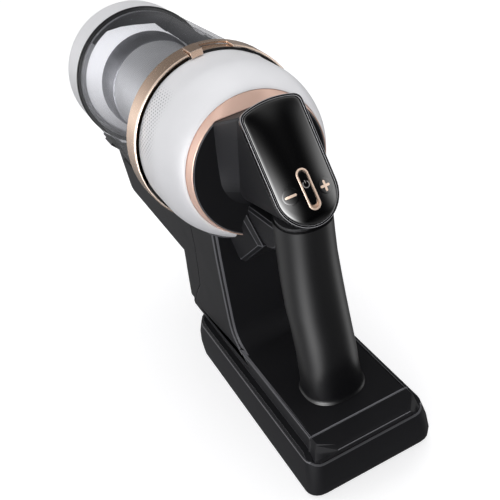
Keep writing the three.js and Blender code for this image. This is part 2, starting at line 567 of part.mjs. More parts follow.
// Outline of the panel as points [u, v]: a low arch on top, straight sides and a half round lower end.
// All such outlines have the same number of points, so that they can be skinned to each other.
const PANEL_WAIST = -2.4; // where the lower end begins
function headOutline(half, top, bottom, waist, corner, sag) {
  const shape = new THREE.Shape();
  const shoulder = top - sag;
  shape.moveTo(half, waist);
  shape.lineTo(half, shoulder - corner);
  shape.quadraticCurveTo(half, shoulder, half - corner, shoulder + sag * 0.35);
  shape.quadraticCurveTo(0, top + sag * 0.65, corner - half, shoulder + sag * 0.35);
  shape.quadraticCurveTo(-half, shoulder, -half, shoulder - corner);
  shape.lineTo(-half, waist);
  shape.absellipse(0, waist, half, waist - bottom, Math.PI, 2 * Math.PI, false);
  return shape.getPoints(6).slice(0, -1).map(({ x, y }) => [x, y]);
}
const panelOutline = (grow) =>
  headOutline(PANEL_HALF + grow, PANEL_V[1] + grow, PANEL_V[0] - grow, PANEL_WAIST, 3 + grow, 3);
// Height of the crown on the panel's centre line: it swells downwards and rounds off at both ends.
function crownAt(v) {
  const swell = 5.6 - 3 * (Math.max(v, -9) + 9) / 56;
  const fall = Math.max(0, (-9 - v) / 11.4, (v - 34) / 15);
  return swell * Math.sqrt(Math.max(0.01, 1 - fall ** 2));
}
function crown(bottom, lift = 0) {
  const half = PANEL_HALF + 0.4;
  const stations = [-20.2, -18.8, -16.6, -13.5, -9, 0, 14, 28, 38, 44, 48];
  return loft(stations.map((v) => {
    const top = Array.from({ length: 15 }, (_, i) => {
      const u = half * (1 - i / 7);
      return new THREE.Vector3(u, v, lift + crownAt(v) * (1 - (u / half) ** 2));
    });
    return [new THREE.Vector3(-half, v, bottom), new THREE.Vector3(half, v, bottom), ...top];
  }));
}
function pill(radius, low, high) {
  const shape = new THREE.Shape();
  shape.absarc(0, high, radius, 0, Math.PI, false);
  shape.absarc(0, low, radius, Math.PI, 2 * Math.PI, false);
  return shape;
}
const PILL_V = [-9.3, 6.5];
const KEY_U = 9.6;
const MINUS_V = -1.5;
const PLUS_V = -3.2;
const KEY_R = 4.1;
const keyPlaces = [[-KEY_U, MINUS_V], [KEY_U, PLUS_V]];
const prism = (shape, from = -9, to = 12) => plate(shape, from, to);
const circle = (radius, u, v) => new THREE.Shape().absarc(u, v, radius, 0, 2 * Math.PI);

place(panel, 'control_panel', cut(keep(crown(-2.4), prism(shapeOf(panelOutline(0)))),
  prism(pill(3.7, ...PILL_V)),
  ...keyPlaces.map(([u, v]) => prism(circle(KEY_R + GAP, u, v)))), gloss);
place(panel, 'button_ring', cut(keep(crown(-2.2, 0.15), prism(pill(3.4, ...PILL_V))),
  prism(pill(2.5, ...PILL_V))), roseGold);
const flange = (shape) => plate(shape, -4.4, -2.8);
place(panel, 'power_button', join(
  keep(crown(-4.4, -0.5), prism(pill(2.2, ...PILL_V))), flange(pill(2.9, ...PILL_V))), gloss);
const key = (spot) => join(
  keep(crown(-4.4), prism(circle(KEY_R, ...spot))), flange(circle(KEY_R + 0.6, ...spot)));
place(panel, 'minus_key', key(keyPlaces[0]), gloss);
place(panel, 'plus_key', key(keyPlaces[1]), gloss);
const bezelShape = shapeOf(panelOutline(BEZEL_WALL));
bezelShape.holes.push(shapeOf(panelOutline(GAP)));
place(panel, 'panel_bezel', plate(bezelShape, -3, 0.5), satinBlack);
place(panel, 'key_mat', join(plate(shapeOf(roundedLoop(13, -12, 9, 2, 2, 2, 1)), -7.6, -6),
  ...[[0, -1.4], ...keyPlaces].map(([u, v]) => plate(circle(2.2, u, v), -6.5, -5.3))), rubber);
place(panel, 'control_board',
  plate(shapeOf(roundedLoop(13, -12.4, 40, 2, 2, 2, 1)), -9.4, -7.9), circuitGreen);

// Neck: straight flanks run forward from the bezel to a crease, then flare to an outline on the
// foot disc that is widest level with the axis and folds in again below it.
function neck(grow) {
  const half = PANEL_HALF + BEZEL_WALL + grow;
  const onPanel = panelOutline(BEZEL_WALL + grow)
    .map(([u, v]) => new THREE.Vector3(u, v, -3.3 + grow).applyMatrix4(panel.matrix));
  const crease = headOutline(half, 47.6 + grow, -22.4 - grow, -2.7, 2, 0.8)
    .map(([x, z]) => new THREE.Vector3(x, -36.5 + (48.4 - z) * 0.4534, z + AXIS_Z));
  const onDisc = headOutline(27.2 + grow, 36 + grow, -26 - grow, 0, 2, 0.2)
    .map(([x, z]) => new THREE.Vector3(x * (1 - 0.006 * Math.max(0, z)), -4.6, z + AXIS_Z));
  const halfway = crease.map((point, i) => point.clone().lerp(onDisc[i], 0.5));
  return loft([onPanel, crease, halfway, onDisc]);
}
// Web between barrel and grip: a wedge plate with a wide chamfer and a narrower filling behind it.
// The plate's flanks spread towards the barrel.
function webPlate(grow) {
  const flanks = acrossX([
    [-5.8, -24.8 + grow], [-21.8 - grow, -39.4], [-17.3, -43 - grow], [19.6, -71.6 - grow], [18, -62.4],
    [11.4, -38.5], [9.2, -30], [6, -22],
  ].map(([y, z]) => [y, z + AXIS_Z]), 18 + grow, 2);
  const p = flanks.attributes.position;
  const ramp = (value, from, to) => Math.min(1, Math.max(0, (value - from) / (to - from)));
  for (let i = 0; i < p.count; i++) {
    const spread = 0.72 * ramp(p.getY(i), -6, 24) * ramp(p.getZ(i) - AXIS_Z, -72, -40);
    p.setX(i, p.getX(i) * (1 + spread));
  }
  return flanks;
}
const webFilling = (grow) => acrossX([
  [-46, -16], [-44, -30], [-33.5, -37 - grow], [-27.5, -39 - grow], [-21, -39 - grow], [-6, -30], [-6, -20],
].map(([y, z]) => [y, z + AXIS_Z]), 14.8 + grow, 1.6);
const rearLimit = block([-60, 60], [-120, -2.5], [0, 300]);
const boardPocket = plate(shapeOf(roundedLoop(14.8, -13, 42, 2, 2, 2, 1)), -13, 1)
  .applyMatrix4(panel.matrix);
const lipClearance = cut(trimBody(GAP), headDisc(0, -8, 8)).translate(0, 0, AXIS_Z);
const web = cut(join(webPlate(0), webFilling(0)), barrelEnvelope, lipClearance);
const neckBody = cut(join(keep(neck(0), rearLimit), web), boardPocket);
const footDisc = headDisc(0, HEAD_FRONT_Y, 3.2).translate(0, 0, AXIS_Z);
place(vacuum, 'handle_head', join(neckBody, footDisc), satinBlack);

// Grip: oval sections stacked up from a flared foot ring, each as [height, centre y, half x, half y].
const gripSections = [[44.1, -40.4, 20.2, 19.8], [45.1, -40.5, 19.4, 19], [47.2, -40.7, 18.8, 18.4],
  [53, -41, 18.4, 18], [61, -41.7, 18.1, 17.9], [73, -43.2, 17.8, 17.9], [92, -43.2, 17.4, 18],
  [111, -42.8, 17.4, 18], [130, -44, 16.8, 18], [147, -45.8, 16.1, 18], [160, -48, 15.8, 18],
  [174, -50.4, 15.6, 18]];
const squared = (value) => Math.sign(value) * Math.abs(value) ** 0.86;
const sectionLoop = ([z, y, a, b]) => Array.from({ length: 24 }, (_, i) => {
  const angle = (i / 24) * 2 * Math.PI;
  return new THREE.Vector3(a * squared(Math.cos(angle)), y + b * squared(Math.sin(angle)), z);
});
// The bore and the core that fills it keep one width from foot to head.
const straight = (a, b) => gripSections.filter((_, i) => i % 3 !== 1)
  .map(([z, y]) => sectionLoop([z, y, a, b]));
const gripOuter = loft(gripSections.map(sectionLoop));
const gripInner = loft(straight(15, 16));
const gripCore = loft(straight(14.5, 15.5));
const headClearance = [neck(GAP), webPlate(GAP), webFilling(GAP)];
place(vacuum, 'grip_sleeve', cut(gripOuter, gripInner, ...headClearance), softBlack);
place(vacuum, 'grip_core', cut(gripCore, ...headClearance), satinBlack);

export default vacuum;
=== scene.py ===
import json
import math

import bmesh
import bpy
from mathutils import Matrix, Vector


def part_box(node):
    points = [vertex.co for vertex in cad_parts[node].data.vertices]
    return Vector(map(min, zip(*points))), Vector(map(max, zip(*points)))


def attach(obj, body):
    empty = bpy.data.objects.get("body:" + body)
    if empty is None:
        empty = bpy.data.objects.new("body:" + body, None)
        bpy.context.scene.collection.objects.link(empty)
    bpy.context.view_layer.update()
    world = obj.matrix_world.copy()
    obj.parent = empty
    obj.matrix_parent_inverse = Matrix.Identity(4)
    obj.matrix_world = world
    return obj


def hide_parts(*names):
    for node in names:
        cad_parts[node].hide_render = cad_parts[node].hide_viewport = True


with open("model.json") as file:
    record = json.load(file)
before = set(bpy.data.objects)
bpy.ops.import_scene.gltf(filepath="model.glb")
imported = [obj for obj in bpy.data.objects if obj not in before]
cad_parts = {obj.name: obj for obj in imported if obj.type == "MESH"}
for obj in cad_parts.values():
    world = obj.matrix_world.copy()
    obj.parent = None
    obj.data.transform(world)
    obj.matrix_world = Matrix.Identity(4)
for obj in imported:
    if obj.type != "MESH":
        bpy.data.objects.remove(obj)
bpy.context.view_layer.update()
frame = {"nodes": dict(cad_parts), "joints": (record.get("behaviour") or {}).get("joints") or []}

# ---- Exhaust ring ---------------------------------------------------------------------------
# Rear cover of the motor: white ABS, injection moulded in one piece and snapped over the motor
# frame. A soft shoulder rolls into the rear opening, and a field of fine air holes is pierced
# through each flank beside the collar.
ring_low, ring_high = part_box("exhaust_ring")
AXIS = Vector((0, 0, (ring_low.z + ring_high.z) / 2))
BARREL = Matrix.Translation(AXIS) @ Matrix.Scale(0.001, 4)  # millimetres from the barrel's axis
RING_R = (ring_high.x - ring_low.x) * 500
RING_FRONT = ring_high.y * 1000
RING_REAR_R = 44.0
SHOULDER = 27.0
RING_WALL = 2.2
HOLE_PITCH = 3.4  # mm between rows of air holes, coarser than the real ones so that they show


def linear(colour):
    """Turns an sRGB hex colour to linear light."""
    parts = [int(colour[i:i + 2], 16) / 255 for i in (1, 3, 5)]
    return tuple(c / 12.92 if c <= 0.04045 else ((c + 0.055) / 1.055) ** 2.4 for c in parts) + (1,)


def add(tree, kind, settings=None, **links):
    """Adds a node, with its properties and socket values, and links its inputs by name or number."""
    made = tree.nodes.new(kind)
    for key, value in (settings or {}).items():
        if isinstance(key, str) and hasattr(made, key):
            setattr(made, key, value)
        else:
            made.inputs[key].default_value = value
    for key, source in links.items():
        socket = int(key[1:]) if key[1:].isdigit() else key.replace("_", " ")
        tree.links.new(source, made.inputs[socket])
    return made


def moulded(name, colour, roughness, grain_mm=0.35, depth_mm=0.012, cloud=0.03, **sockets):
    """A moulded surface: the mould's fine spark grain as bump, and a slow drift of tone and gloss."""
    material = bpy.data.materials.new(name)
    material.use_nodes = True
    tree = material.node_tree
    shader = tree.nodes["Principled BSDF"]
    place = add(tree, "ShaderNodeTexCoord").outputs["Object"]
    drift = add(tree, "ShaderNodeTexNoise", {"Scale": 35.0, "Detail": 3.0}, Vector=place).outputs["Fac"]
    tone = add(tree, "ShaderNodeValToRGB", Fac=drift)
    for stop, shift, where in zip(tone.color_ramp.elements, (1 - cloud, 1 + cloud), (0.3, 0.7)):
        stop.position = where
        stop.color = tuple(min(1, c * shift) for c in linear(colour)[:3]) + (1,)
    gloss = add(tree, "ShaderNodeMapRange", {"To Min": roughness * 0.9, "To Max": roughness * 1.1},
                Value=drift)
    grain = add(tree, "ShaderNodeTexNoise", {"Scale": 1000 / grain_mm, "Detail": 2.0}, Vector=place)
    bump = add(tree, "ShaderNodeBump", {"Strength": 0.35, "Distance": depth_mm / 1000},
               Height=grain.outputs["Fac"])
    tree.links.new(tone.outputs["Color"], shader.inputs["Base Color"])
    tree.links.new(gloss.outputs["Result"], shader.inputs["Roughness"])
    tree.links.new(bump.outputs["Normal"], shader.inputs["Normal"])
    for socket, value in sockets.items():
        shader.inputs[socket.replace("_", " ")].default_value = value
    return material


def spun(profile, steps=160):
    """Spins an outline of (radius, along) about the local Y axis; an outline off the axis is closed."""
    bm = bmesh.new()
    corners = [bm.verts.new((0, y, r)) for r, y in profile]
    pairs = list(zip(corners, corners[1:]))
    if profile[0][0] > 0:
        pairs.append((corners[-1], corners[0]))
    edges = [bm.edges.new(pair) for pair in pairs]
    bmesh.ops.spin(bm, geom=corners + edges, cent=(0, 0, 0), axis=(0, 1, 0), angle=2 * math.pi,
                   steps=steps, use_merge=True)
    bmesh.ops.remove_doubles(bm, verts=bm.verts, dist=1e-4)
    bmesh.ops.recalc_face_normals(bm, faces=bm.faces)
    return bm


def soften(bm, width, angle=30, segments=3, clamp=True):
    """Rounds each edge sharper than an angle, as a mould's radius does; marks the rounds as edge, for
    painted highlight.
    """
    rounded = bm.faces.layers.float.get("edge") or bm.faces.layers.float.new("edge")
    sharp = [e for e in bm.edges if len(e.link_faces) == 2 and e.calc_face_angle(0) > math.radians(angle)]
    rounds = bmesh.ops.bevel(bm, geom=sharp, offset=width, affect="EDGES", segments=segments, profile=0.5,
                             material=-1, clamp_overlap=clamp)
    for face in rounds["faces"]:
        face[rounded] = 1.0
    return bm


def piece(name, bm, material, body, *replaced, at=BARREL, sharp=35):
    """Makes a piece of a mesh that rides on a body and stands for its CAD nodes."""
    bm.transform(at)
    for face in bm.faces:
        face.smooth = True
    for edge in bm.edges:
        edge.smooth = len(edge.link_faces) != 2 or edge.calc_face_angle(0) < math.radians(sharp)
    mesh = bpy.data.meshes.new(name)
    bm.to_mesh(mesh)
    bm.free()
    made = bpy.data.objects.new(name, mesh)
    mesh.materials.append(material)
    bpy.context.scene.collection.objects.link(made)
    # Flat faces keep their own normal, so that only the rounds between them turn.
    made.modifiers.new("flat faces", "WEIGHTED_NORMAL").keep_sharp = True
    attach(made, body)
    if replaced:
        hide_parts(*replaced)
    return made


def ring_radius(y):
    """Outer radius of the exhaust ring: its shoulder is a soft superellipse."""
    u = max(0.0, (SHOULDER - y) / SHOULDER)
    return RING_REAR_R + (RING_R - RING_REAR_R) * (1 - u ** 1.5) ** (1 / 1.5)


# Satin ABS: a soft sheen over white, the grain too fine to see as more than softness.
white_abs = moulded("satin white ABS", "#E6E6E9", 0.34)
# The same moulding with its air holes: small grey dots with shade in them, that thin out towards
# the ends of the field. They are drawn in a staggered net that follows the ring's flank.
pierced_abs = white_abs.copy()
pierced_abs.name = "pierced white ABS"
tree = pierced_abs.node_tree


def round_the_barrel(tree):
    """Angle about the barrel's axis, from straight up, and place along it in metres."""
    centred = add(tree, "ShaderNodeMapping", {"Location": -AXIS},
                  Vector=tree.nodes["Texture Coordinate"].outputs["Object"])
    split = add(tree, "ShaderNodeSeparateXYZ", Vector=centred.outputs["Vector"]).outputs
    turn = add(tree, "ShaderNodeMath", {"operation": "ARCTAN2"}, i0=split["X"], i1=split["Z"])
    return turn.outputs[0], split["Y"]


def to_nearest_dot(tree, lanes):
    """Squared distance to the nearest dot of a net, in rows; each lane counts the rows one way."""
    total = None
    for lane in lanes:
        offset = add(tree, "ShaderNodeMath", {"operation": "PINGPONG", 1: 0.5}, i0=lane).outputs[0]
        square = add(tree, "ShaderNodeMath", {"operation": "POWER", 1: 2.0}, i0=offset).outputs[0]
        total = square if total is None else add(
            tree, "ShaderNodeMath", {"operation": "ADD"}, i0=total, i1=square).outputs[0]
    return total


def colour_mixed_in(tree, where, colour):
    """Mixes a colour into a moulded surface where a field says so."""
    tint = add(tree, "ShaderNodeMix", {"data_type": "RGBA", 7: linear(colour)}, i0=where,
               i6=tree.nodes["Color Ramp"].outputs["Color"])
    tree.links.new(tint.outputs[2], tree.nodes["Principled BSDF"].inputs["Base Color"])


turn, forward = round_the_barrel(tree)
across = add(tree, "ShaderNodeMath", {"operation": "MULTIPLY", 1: RING_R / HOLE_PITCH}, i0=turn).outputs[0]
along = add(tree, "ShaderNodeMath", {"operation": "MULTIPLY", 1: 1000 / HOLE_PITCH}, i0=forward).outputs[0]
diagonals = [add(tree, "ShaderNodeMath", {"operation": operation}, i0=across, i1=along).outputs[0]
             for operation in ("ADD", "SUBTRACT")]
hole = add(tree, "ShaderNodeMapRange", {
    "interpolation_type": "SMOOTHSTEP", "From Min": 0.02, "From Max": 0.07, "To Min": 1.0, "To Max": 0.0},
    Value=to_nearest_dot(tree, diagonals)).outputs["Result"]
# The field fades in at its ends, from the first number to the second: radians round the flank, then
# metres along the barrel.
flank = add(tree, "ShaderNodeMath", {"operation": "ABSOLUTE"}, i0=turn).outputs[0]
for source, start, full in ((flank, 0.5, 0.66), (flank, 1.45, 1.2),
                            (forward, 0.024, 0.036), (forward, 0.0505, 0.0495)):
    rising = start < full
    fade = add(tree, "ShaderNodeMapRange", {
        "interpolation_type": "SMOOTHSTEP", "From Min": min(start, full), "From Max": max(start, full),
        "To Min": 0.0 if rising else 1.0, "To Max": 1.0 if rising else 0.0}, Value=source).outputs["Result"]
    hole = add(tree, "ShaderNodeMath", {"operation": "MULTIPLY"}, i0=hole, i1=fade).outputs[0]
colour_mixed_in(tree, hole, "#85868B")

ring = spun([(RING_REAR_R - 0.5, 1.8), (RING_REAR_R - 0.3, 0.5)]
            + [(ring_radius(y), y) for y in (0, 0.4, 1, 2, 3.5, 5.5, 8, 11, 14, 17, 20, 23, SHOULDER)]
            + [(RING_R, RING_FRONT - 0.4), (RING_R - 0.4, RING_FRONT), (RING_R - RING_WALL, RING_FRONT),
               (RING_R - RING_WALL, SHOULDER), (49, 9), (46.5, 5)], steps=200)
piece("exhaust_cover", ring, pierced_abs, "body", "exhaust_ring")

# ---- Dust gasket ----------------------------------------------------------------------------
# A thin ring of black foam rubber in the joint between exhaust ring and collar. It keeps dust
# out of the lock and shows as a fine black line.
foam = moulded("black foam rubber", "#101011", 0.85, grain_mm=0.5, depth_mm=0.05)


def band(inner, outer, rear, front):
    """A plain ring of rectangular section."""
    return spun([(inner, rear), (outer, rear), (outer, front), (inner, front)])


piece("dust_gasket", soften(band(54.35, 55.75, 51.25, 52.2), 0.2), foam, "body")

# ---- Bin collar and lock ring ---------------------------------------------------------------
# The collar holds the bin; the lock ring inside it is turned by a tab in the collar's slot. Both
# are ABS, vacuum metallised and lacquered in a satin rose gold.


def metallised(name, colour, roughness, metallic=0.82, drift=0.04):
    """A metal film under satin lacquer: fine orange peel and a slow drift of gloss."""
    material = moulded(name, colour, roughness, grain_mm=1.2, depth_mm=0.001, cloud=drift)
    lacquer = material.node_tree.nodes["Principled BSDF"].inputs
    lacquer["Metallic"].default_value = metallic
    lacquer["Coat Weight"].default_value = 0.3
    lacquer["Coat Roughness"].default_value = 0.2
    return material


def cad_copy(name, width=0.0, angle=28, segments=2, clamp=True, halved=False):
    """A merged copy of a CAD node in millimetres, its sharp edges rounded like a moulding's."""
    bm = bmesh.new()
    bm.from_mesh(frame["nodes"][name].data)
    bmesh.ops.remove_doubles(bm, verts=bm.verts, dist=2e-6)
    if halved:  # cut down the middle, so that no face has a hole in it
        halves = bmesh.ops.bisect_plane(bm, geom=whole(bm), dist=1e-6, plane_co=(0, 0, 0),
                                        plane_no=(1, 0, 0))
        for edge in halves["geom_cut"]:
            if isinstance(edge, bmesh.types.BMEdge):
                edge.seam = True
    bmesh.ops.dissolve_limit(bm, angle_limit=math.radians(0.5), verts=bm.verts, edges=bm.edges,
                             delimit={"SEAM"})
    bm.transform(Matrix.Scale(1000, 4))
    return soften(bm, width, angle, segments, clamp) if width else bm


def whole(bm):
    """All of a mesh, as an operator takes it."""
    return bm.verts[:] + bm.edges[:] + bm.faces[:]


def moulding(name, node, material, body, width=0.0, sharp=35, **rounds):
    """The piece that stands for a CAD node: its own shape, with the small radii of its mould."""
    piece(name, cad_copy(node, width, **rounds), material, body, node, at=GROUND, sharp=sharp)


def with_painted_edge_highlight(material, highlight_colour="#68686C"):
    """Painted highlight on the rounded edges: a lighter colour, and glossier, than the faces between them.
    """
    tree = material.node_tree
    edge_highlight = add(tree, "ShaderNodeAttribute", {"attribute_name": "edge"}).outputs["Fac"]
    colour_mixed_in(tree, edge_highlight, highlight_colour)
    gloss = add(tree, "ShaderNodeMix", {"data_type": "FLOAT", 3: 0.22}, i0=edge_highlight,
                i2=tree.nodes["Map Range"].outputs["Result"])
    tree.links.new(gloss.outputs[0], tree.nodes["Principled BSDF"].inputs["Roughness"])
    return material


GROUND = Matrix.Scale(0.001, 4)  # millimetres from the origin on the ground
# Champagne towards pink, bright where it faces the light and brown in its own shade.
# A painted highlight of pale cream lies on its rounded edges.
rose_gold = with_painted_edge_highlight(metallised("rose gold metallised ABS", "#DDBFA8", 0.24), highlight_colour="#F6E3D4")
moulding("collar", "bin_collar", rose_gold, "body", 0.35)
moulding("lock_ring_and_tab", "lock_ring", rose_gold, "lock_ring", 0.3)

# ---- Mark on the lock tab -------------------------------------------------------------------
# A small raised square rim that the thumb feels, moulded in one with the tab and metallised
# with it.
MARK_HALF, MARK_RIM, MARK_HEIGHT = 1.7, 0.5, 0.5
MARK_Y, MARK_R = 54.6, 59.1
TAB_MIDDLE = -0.052  # angle of the tab's middle, from straight up towards +X


def drawn_out(bm, faces, reach):
    """Extrudes faces and moves their far end."""
    grown = bmesh.ops.extrude_face_region(bm, geom=faces)
    far = [v for v in grown["geom"] if isinstance(v, bmesh.types.BMVert)]
    bmesh.ops.translate(bm, vec=reach, verts=far)


tab_mark = bmesh.new()
bmesh.ops.create_grid(tab_mark, x_segments=1, y_segments=1, size=MARK_HALF)
bmesh.ops.inset_region(tab_mark, faces=tab_mark.faces[:], thickness=MARK_RIM)
inner = min(tab_mark.faces, key=lambda f: f.calc_center_median().length)
drawn_out(tab_mark, [f for f in tab_mark.faces if f is not inner], (0, 0, MARK_HEIGHT))
bmesh.ops.translate(tab_mark, vec=(0, MARK_Y, MARK_R), verts=tab_mark.verts)
piece("tab_mark", tab_mark, rose_gold, "lock_ring", at=BARREL @ Matrix.Rotation(TAB_MIDDLE, 4, "Y"))

# ---- Trim plate -----------------------------------------------------------------------------
# A dished ring in the exhaust opening that rises to a thin lip round the head of the handle,
# metallised like the collar in a pinker tone.
# A painted highlight of near white lies on its rounded edges, the lip among them.
pink_gold = with_painted_edge_highlight(metallised("pink gold metallised ABS", "#EBC6B5", 0.34, metallic=0.4), highlight_colour="#FFF2E8")
moulding("trim_dish", "trim_plate", pink_gold, "body", 0.2, sharp=50, angle=40)

# ---- Motor frame and exhaust filter ---------------------------------------------------------
# The frame is black glass-filled nylon and carries motor, ring and collar. The filter round it is
# pleated paper, glued into a cylinder.

# Dull charcoal nylon, a little cloudy with its glass; paper that is matt and warm.
nylon = moulded("black glass filled nylon", "#232325", 0.55, grain_mm=0.5)
paper = moulded("pleated filter paper", "#ECEAE2", 0.9, grain_mm=0.25, depth_mm=0.03, cloud=0.05)


def dress(material, *names):
    """Gives CAD nodes that keep their shape their material."""
    for name in names:
        frame["nodes"][name].data.materials.clear()
        frame["nodes"][name].data.materials.append(material)


dress(nylon, "motor_frame", "bearing_bridge", "filter_frame", "cyclone_head", "fine_dust_cup")
dress(paper, "exhaust_filter", "premotor_filter")

# ---- Motor ----------------------------------------------------------------------------------
# A small brushless motor: drawn steel can, stacked stator, sintered magnet on a ground shaft in
# two ball bearings, hung between two rings of silicone rubber. The impeller is moulded in PPS.

# Bright ground steel, greyer drawn steel, a dull stack of laminations; matt rubber and grey resin.
drawn_steel = metallised("drawn steel", "#A9ABAD", 0.34, metallic=1.0)
ground_steel = metallised("ground bearing steel", "#BFC1C3", 0.2, metallic=1.0)
stack = metallised("stacked lamination steel", "#7C7D80", 0.5, metallic=0.9)
silicone = moulded("silicone rubber", "#2A2A2B", 0.7, grain_mm=0.8)
pps = moulded("grey PPS", "#8B8D90", 0.45, grain_mm=0.4)
dress(drawn_steel, "motor_can", "hinge_pin")
dress(ground_steel, "rotor_shaft", "bearing_rear", "bearing_front")
dress(stack, "stator_core", "rotor_magnet")
dress(silicone, "motor_mount_rear", "motor_mount_front")
dress(pps, "impeller", "impeller_shroud", "cyclone_cones")

# ---- Bin shell ------------------------------------------------------------------------------
# A tapered tube of clear polycarbonate with a faint grey smoke, injection moulded in one piece.
# It slides into the collar and is locked there.

# Seen straight on, each face of the wall only veils what is behind it; towards the outline the
# path through the plastic is longer, so it turns to smoke and mirrors the room.
clear_bin = moulded("smoked clear polycarbonate", "#6A6B6F", 0.04, grain_mm=30.0, depth_mm=0.02, cloud=0.2)
tree = clear_bin.node_tree
shader = tree.nodes["Principled BSDF"]
shader.inputs["Specular IOR Level"].default_value = 0.6
slant = add(tree, "ShaderNodeLayerWeight", {"Blend": 0.5}).outputs["Facing"]
veil = add(tree, "ShaderNodeMapRange", {
    "interpolation_type": "SMOOTHSTEP", "From Min": 0.5, "From Max": 1.0, "To Min": 0.012, "To Max": 0.38},
    Value=slant).outputs["Result"]
through = add(tree, "ShaderNodeBsdfTransparent", {"Color": linear("#FAFAFB")})
wall = add(tree, "ShaderNodeMixShader", i0=veil, i1=through.outputs["BSDF"], i2=shader.outputs["BSDF"])
tree.links.new(wall.outputs["Shader"], tree.nodes["Material Output"].inputs["Surface"])
moulding("clear_bin_shell", "bin_shell", clear_bin, "bin", sharp=40)

# ---- Bin rim and door seal ------------------------------------------------------------------
# A thin black lip is over-moulded on the bin's front edge, and the door's seal inside it is grey
# silicone rubber.
door_low, door_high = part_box("bin_door")
seal_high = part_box("door_seal")[1]
DOOR_R = (door_high.x - door_low.x) * 500
RIM_Y = seal_high.y * 1000
# The lip draws a dull black line round the bin; the seal is a paler, softer grey inside it.
lip = moulded("black over-moulded lip", "#0B0B0C", 0.4)
grey_silicone = moulded("grey silicone rubber", "#A2A3A6", 0.5)
piece("bin_rim_lip", soften(band(50.2, 53.2, RIM_Y - 1.2, RIM_Y + 0.22), 0.2), lip, "bin")
piece("door_gasket", soften(band(46.6, 49.9, RIM_Y - 3.6, RIM_Y - 0.1), 0.6), grey_silicone, "door",
      "door_seal")

# ---- Air channel in the bin -----------------------------------------------------------------
# A dark insert on the right of the bin leads the air round the cyclone, in a slant. A flange at
# its front closes the top of the bin. Both are smoke black polycarbonate, clipped to the wall.
CHANNEL_REAR, CHANNEL_FRONT = 96.0, 203.0
CHANNEL_OUTER, CHANNEL_INNER = 50.0, 38.9
CHANNEL_START = {CHANNEL_REAR: 64, CHANNEL_FRONT: 38}  # degrees round from straight up
CHANNEL_END = 88
FLANGE_DEPTH = 7


def skinned(loops, low_cap=True, high_cap=True):
    """Bridges a stack of closed loops of points and fills its ends."""
    bm = bmesh.new()
    rings = []
    for points in loops:
        corners = [bm.verts.new(point) for point in points]
        rings.append([bm.edges.new((a, b)) for a, b in zip(corners, corners[1:] + corners[:1])])
    for low, high in zip(rings, rings[1:]):
        bmesh.ops.bridge_loops(bm, edges=low + high)
    for wanted, ring in ((low_cap, rings[0]), (high_cap, rings[-1])):
        if wanted:
            bmesh.ops.edgeloop_fill(bm, edges=ring)
    bmesh.ops.recalc_face_normals(bm, faces=bm.faces)
    return bm


def wall_arc(radius, start, end, steps=12):
    """Points (x, z) round the barrel's axis, by angles in degrees from straight up."""
    angles = [math.radians(start + (end - start) * i / steps) for i in range(steps + 1)]
    return [(radius * math.sin(a), radius * math.cos(a)) for a in angles]


channel = skinned([[(x, y, z) for x, z in wall_arc(CHANNEL_OUTER, start, CHANNEL_END)
                    + wall_arc(CHANNEL_INNER, CHANNEL_END, start)] for y, start in CHANNEL_START.items()])
# Smoke that is all but black, with soft clouds in its gloss.
smoke_black = moulded("smoke black polycarbonate", "#1A1A1C", 0.3, grain_mm=9.0, depth_mm=0.05, cloud=0.25,
                      Specular_IOR_Level=0.35)
piece("air_channel", soften(channel, 0.5), smoke_black, "bin")
underside = [(24.0, 30.0), (17.2, 39.0), (0.2, 43.3), (-8.7, 44.9), (-20.5, 45.2), (-31.0, 39.0)]
flange = skinned([[(x, y, z) for x, z in wall_arc(CHANNEL_OUTER, -39, 40) + underside]
                  for y in (CHANNEL_FRONT - FLANGE_DEPTH, CHANNEL_FRONT)])
piece("bin_front_flange", soften(flange, 0.4), smoke_black, "bin")

# ---- Cyclone skirt and mesh -----------------------------------------------------------------
# The mesh is a rolled tube of etched stainless steel; the skirt in front of it is metallised grey
# ABS and presses it on to its head.
skirt_low, skirt_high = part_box("cyclone_skirt")
SKIRT_REAR, SKIRT_FRONT = skirt_low.y * 1000, skirt_high.y * 1000
# A thin grey metal film under lacquer: dark where the room is dim, bright where it is light.
skirt_film = metallised("smoke grey metallised ABS", "#A2A3A8", 0.3, metallic=0.92)
skirt = spun([(33.4, SKIRT_REAR), (35.6, SKIRT_REAR), (38.0, SKIRT_FRONT), (36.6, SKIRT_FRONT),
              (34.4, SKIRT_REAR + 2.5), (33.4, SKIRT_REAR + 2.5)])
piece("skirt", soften(skirt, 0.3), skirt_film, "bin", "cyclone_skirt")
# Etched steel: a bright satin sheet with a square net of round holes, which tone it down.
MESH_PITCH = 1.1
MESH_WALL = 0.9
mesh_low, mesh_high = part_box("mesh_grille")
MESH_R = (mesh_high.x - mesh_low.x) * 500
mesh_steel = metallised("etched stainless mesh", "#ECEDEF", 0.34, metallic=0.65)
tree = mesh_steel.node_tree
lanes = [add(tree, "ShaderNodeMath", {"operation": "MULTIPLY", 1: rows}, i0=source).outputs[0]
         for source, rows in zip(round_the_barrel(tree), (MESH_R / MESH_PITCH, 1000 / MESH_PITCH))]
hole = add(tree, "ShaderNodeMapRange", {"From Min": 0.035, "From Max": 0.07, "To Min": 0.4, "To Max": 0.0},
           Value=to_nearest_dot(tree, lanes))
colour_mixed_in(tree, hole.outputs["Result"], "#77787B")
mesh_tube = band(MESH_R - MESH_WALL, MESH_R, mesh_low.y * 1000, mesh_high.y * 1000)
piece("mesh_tube", mesh_tube, mesh_steel, "bin", "mesh_grille")

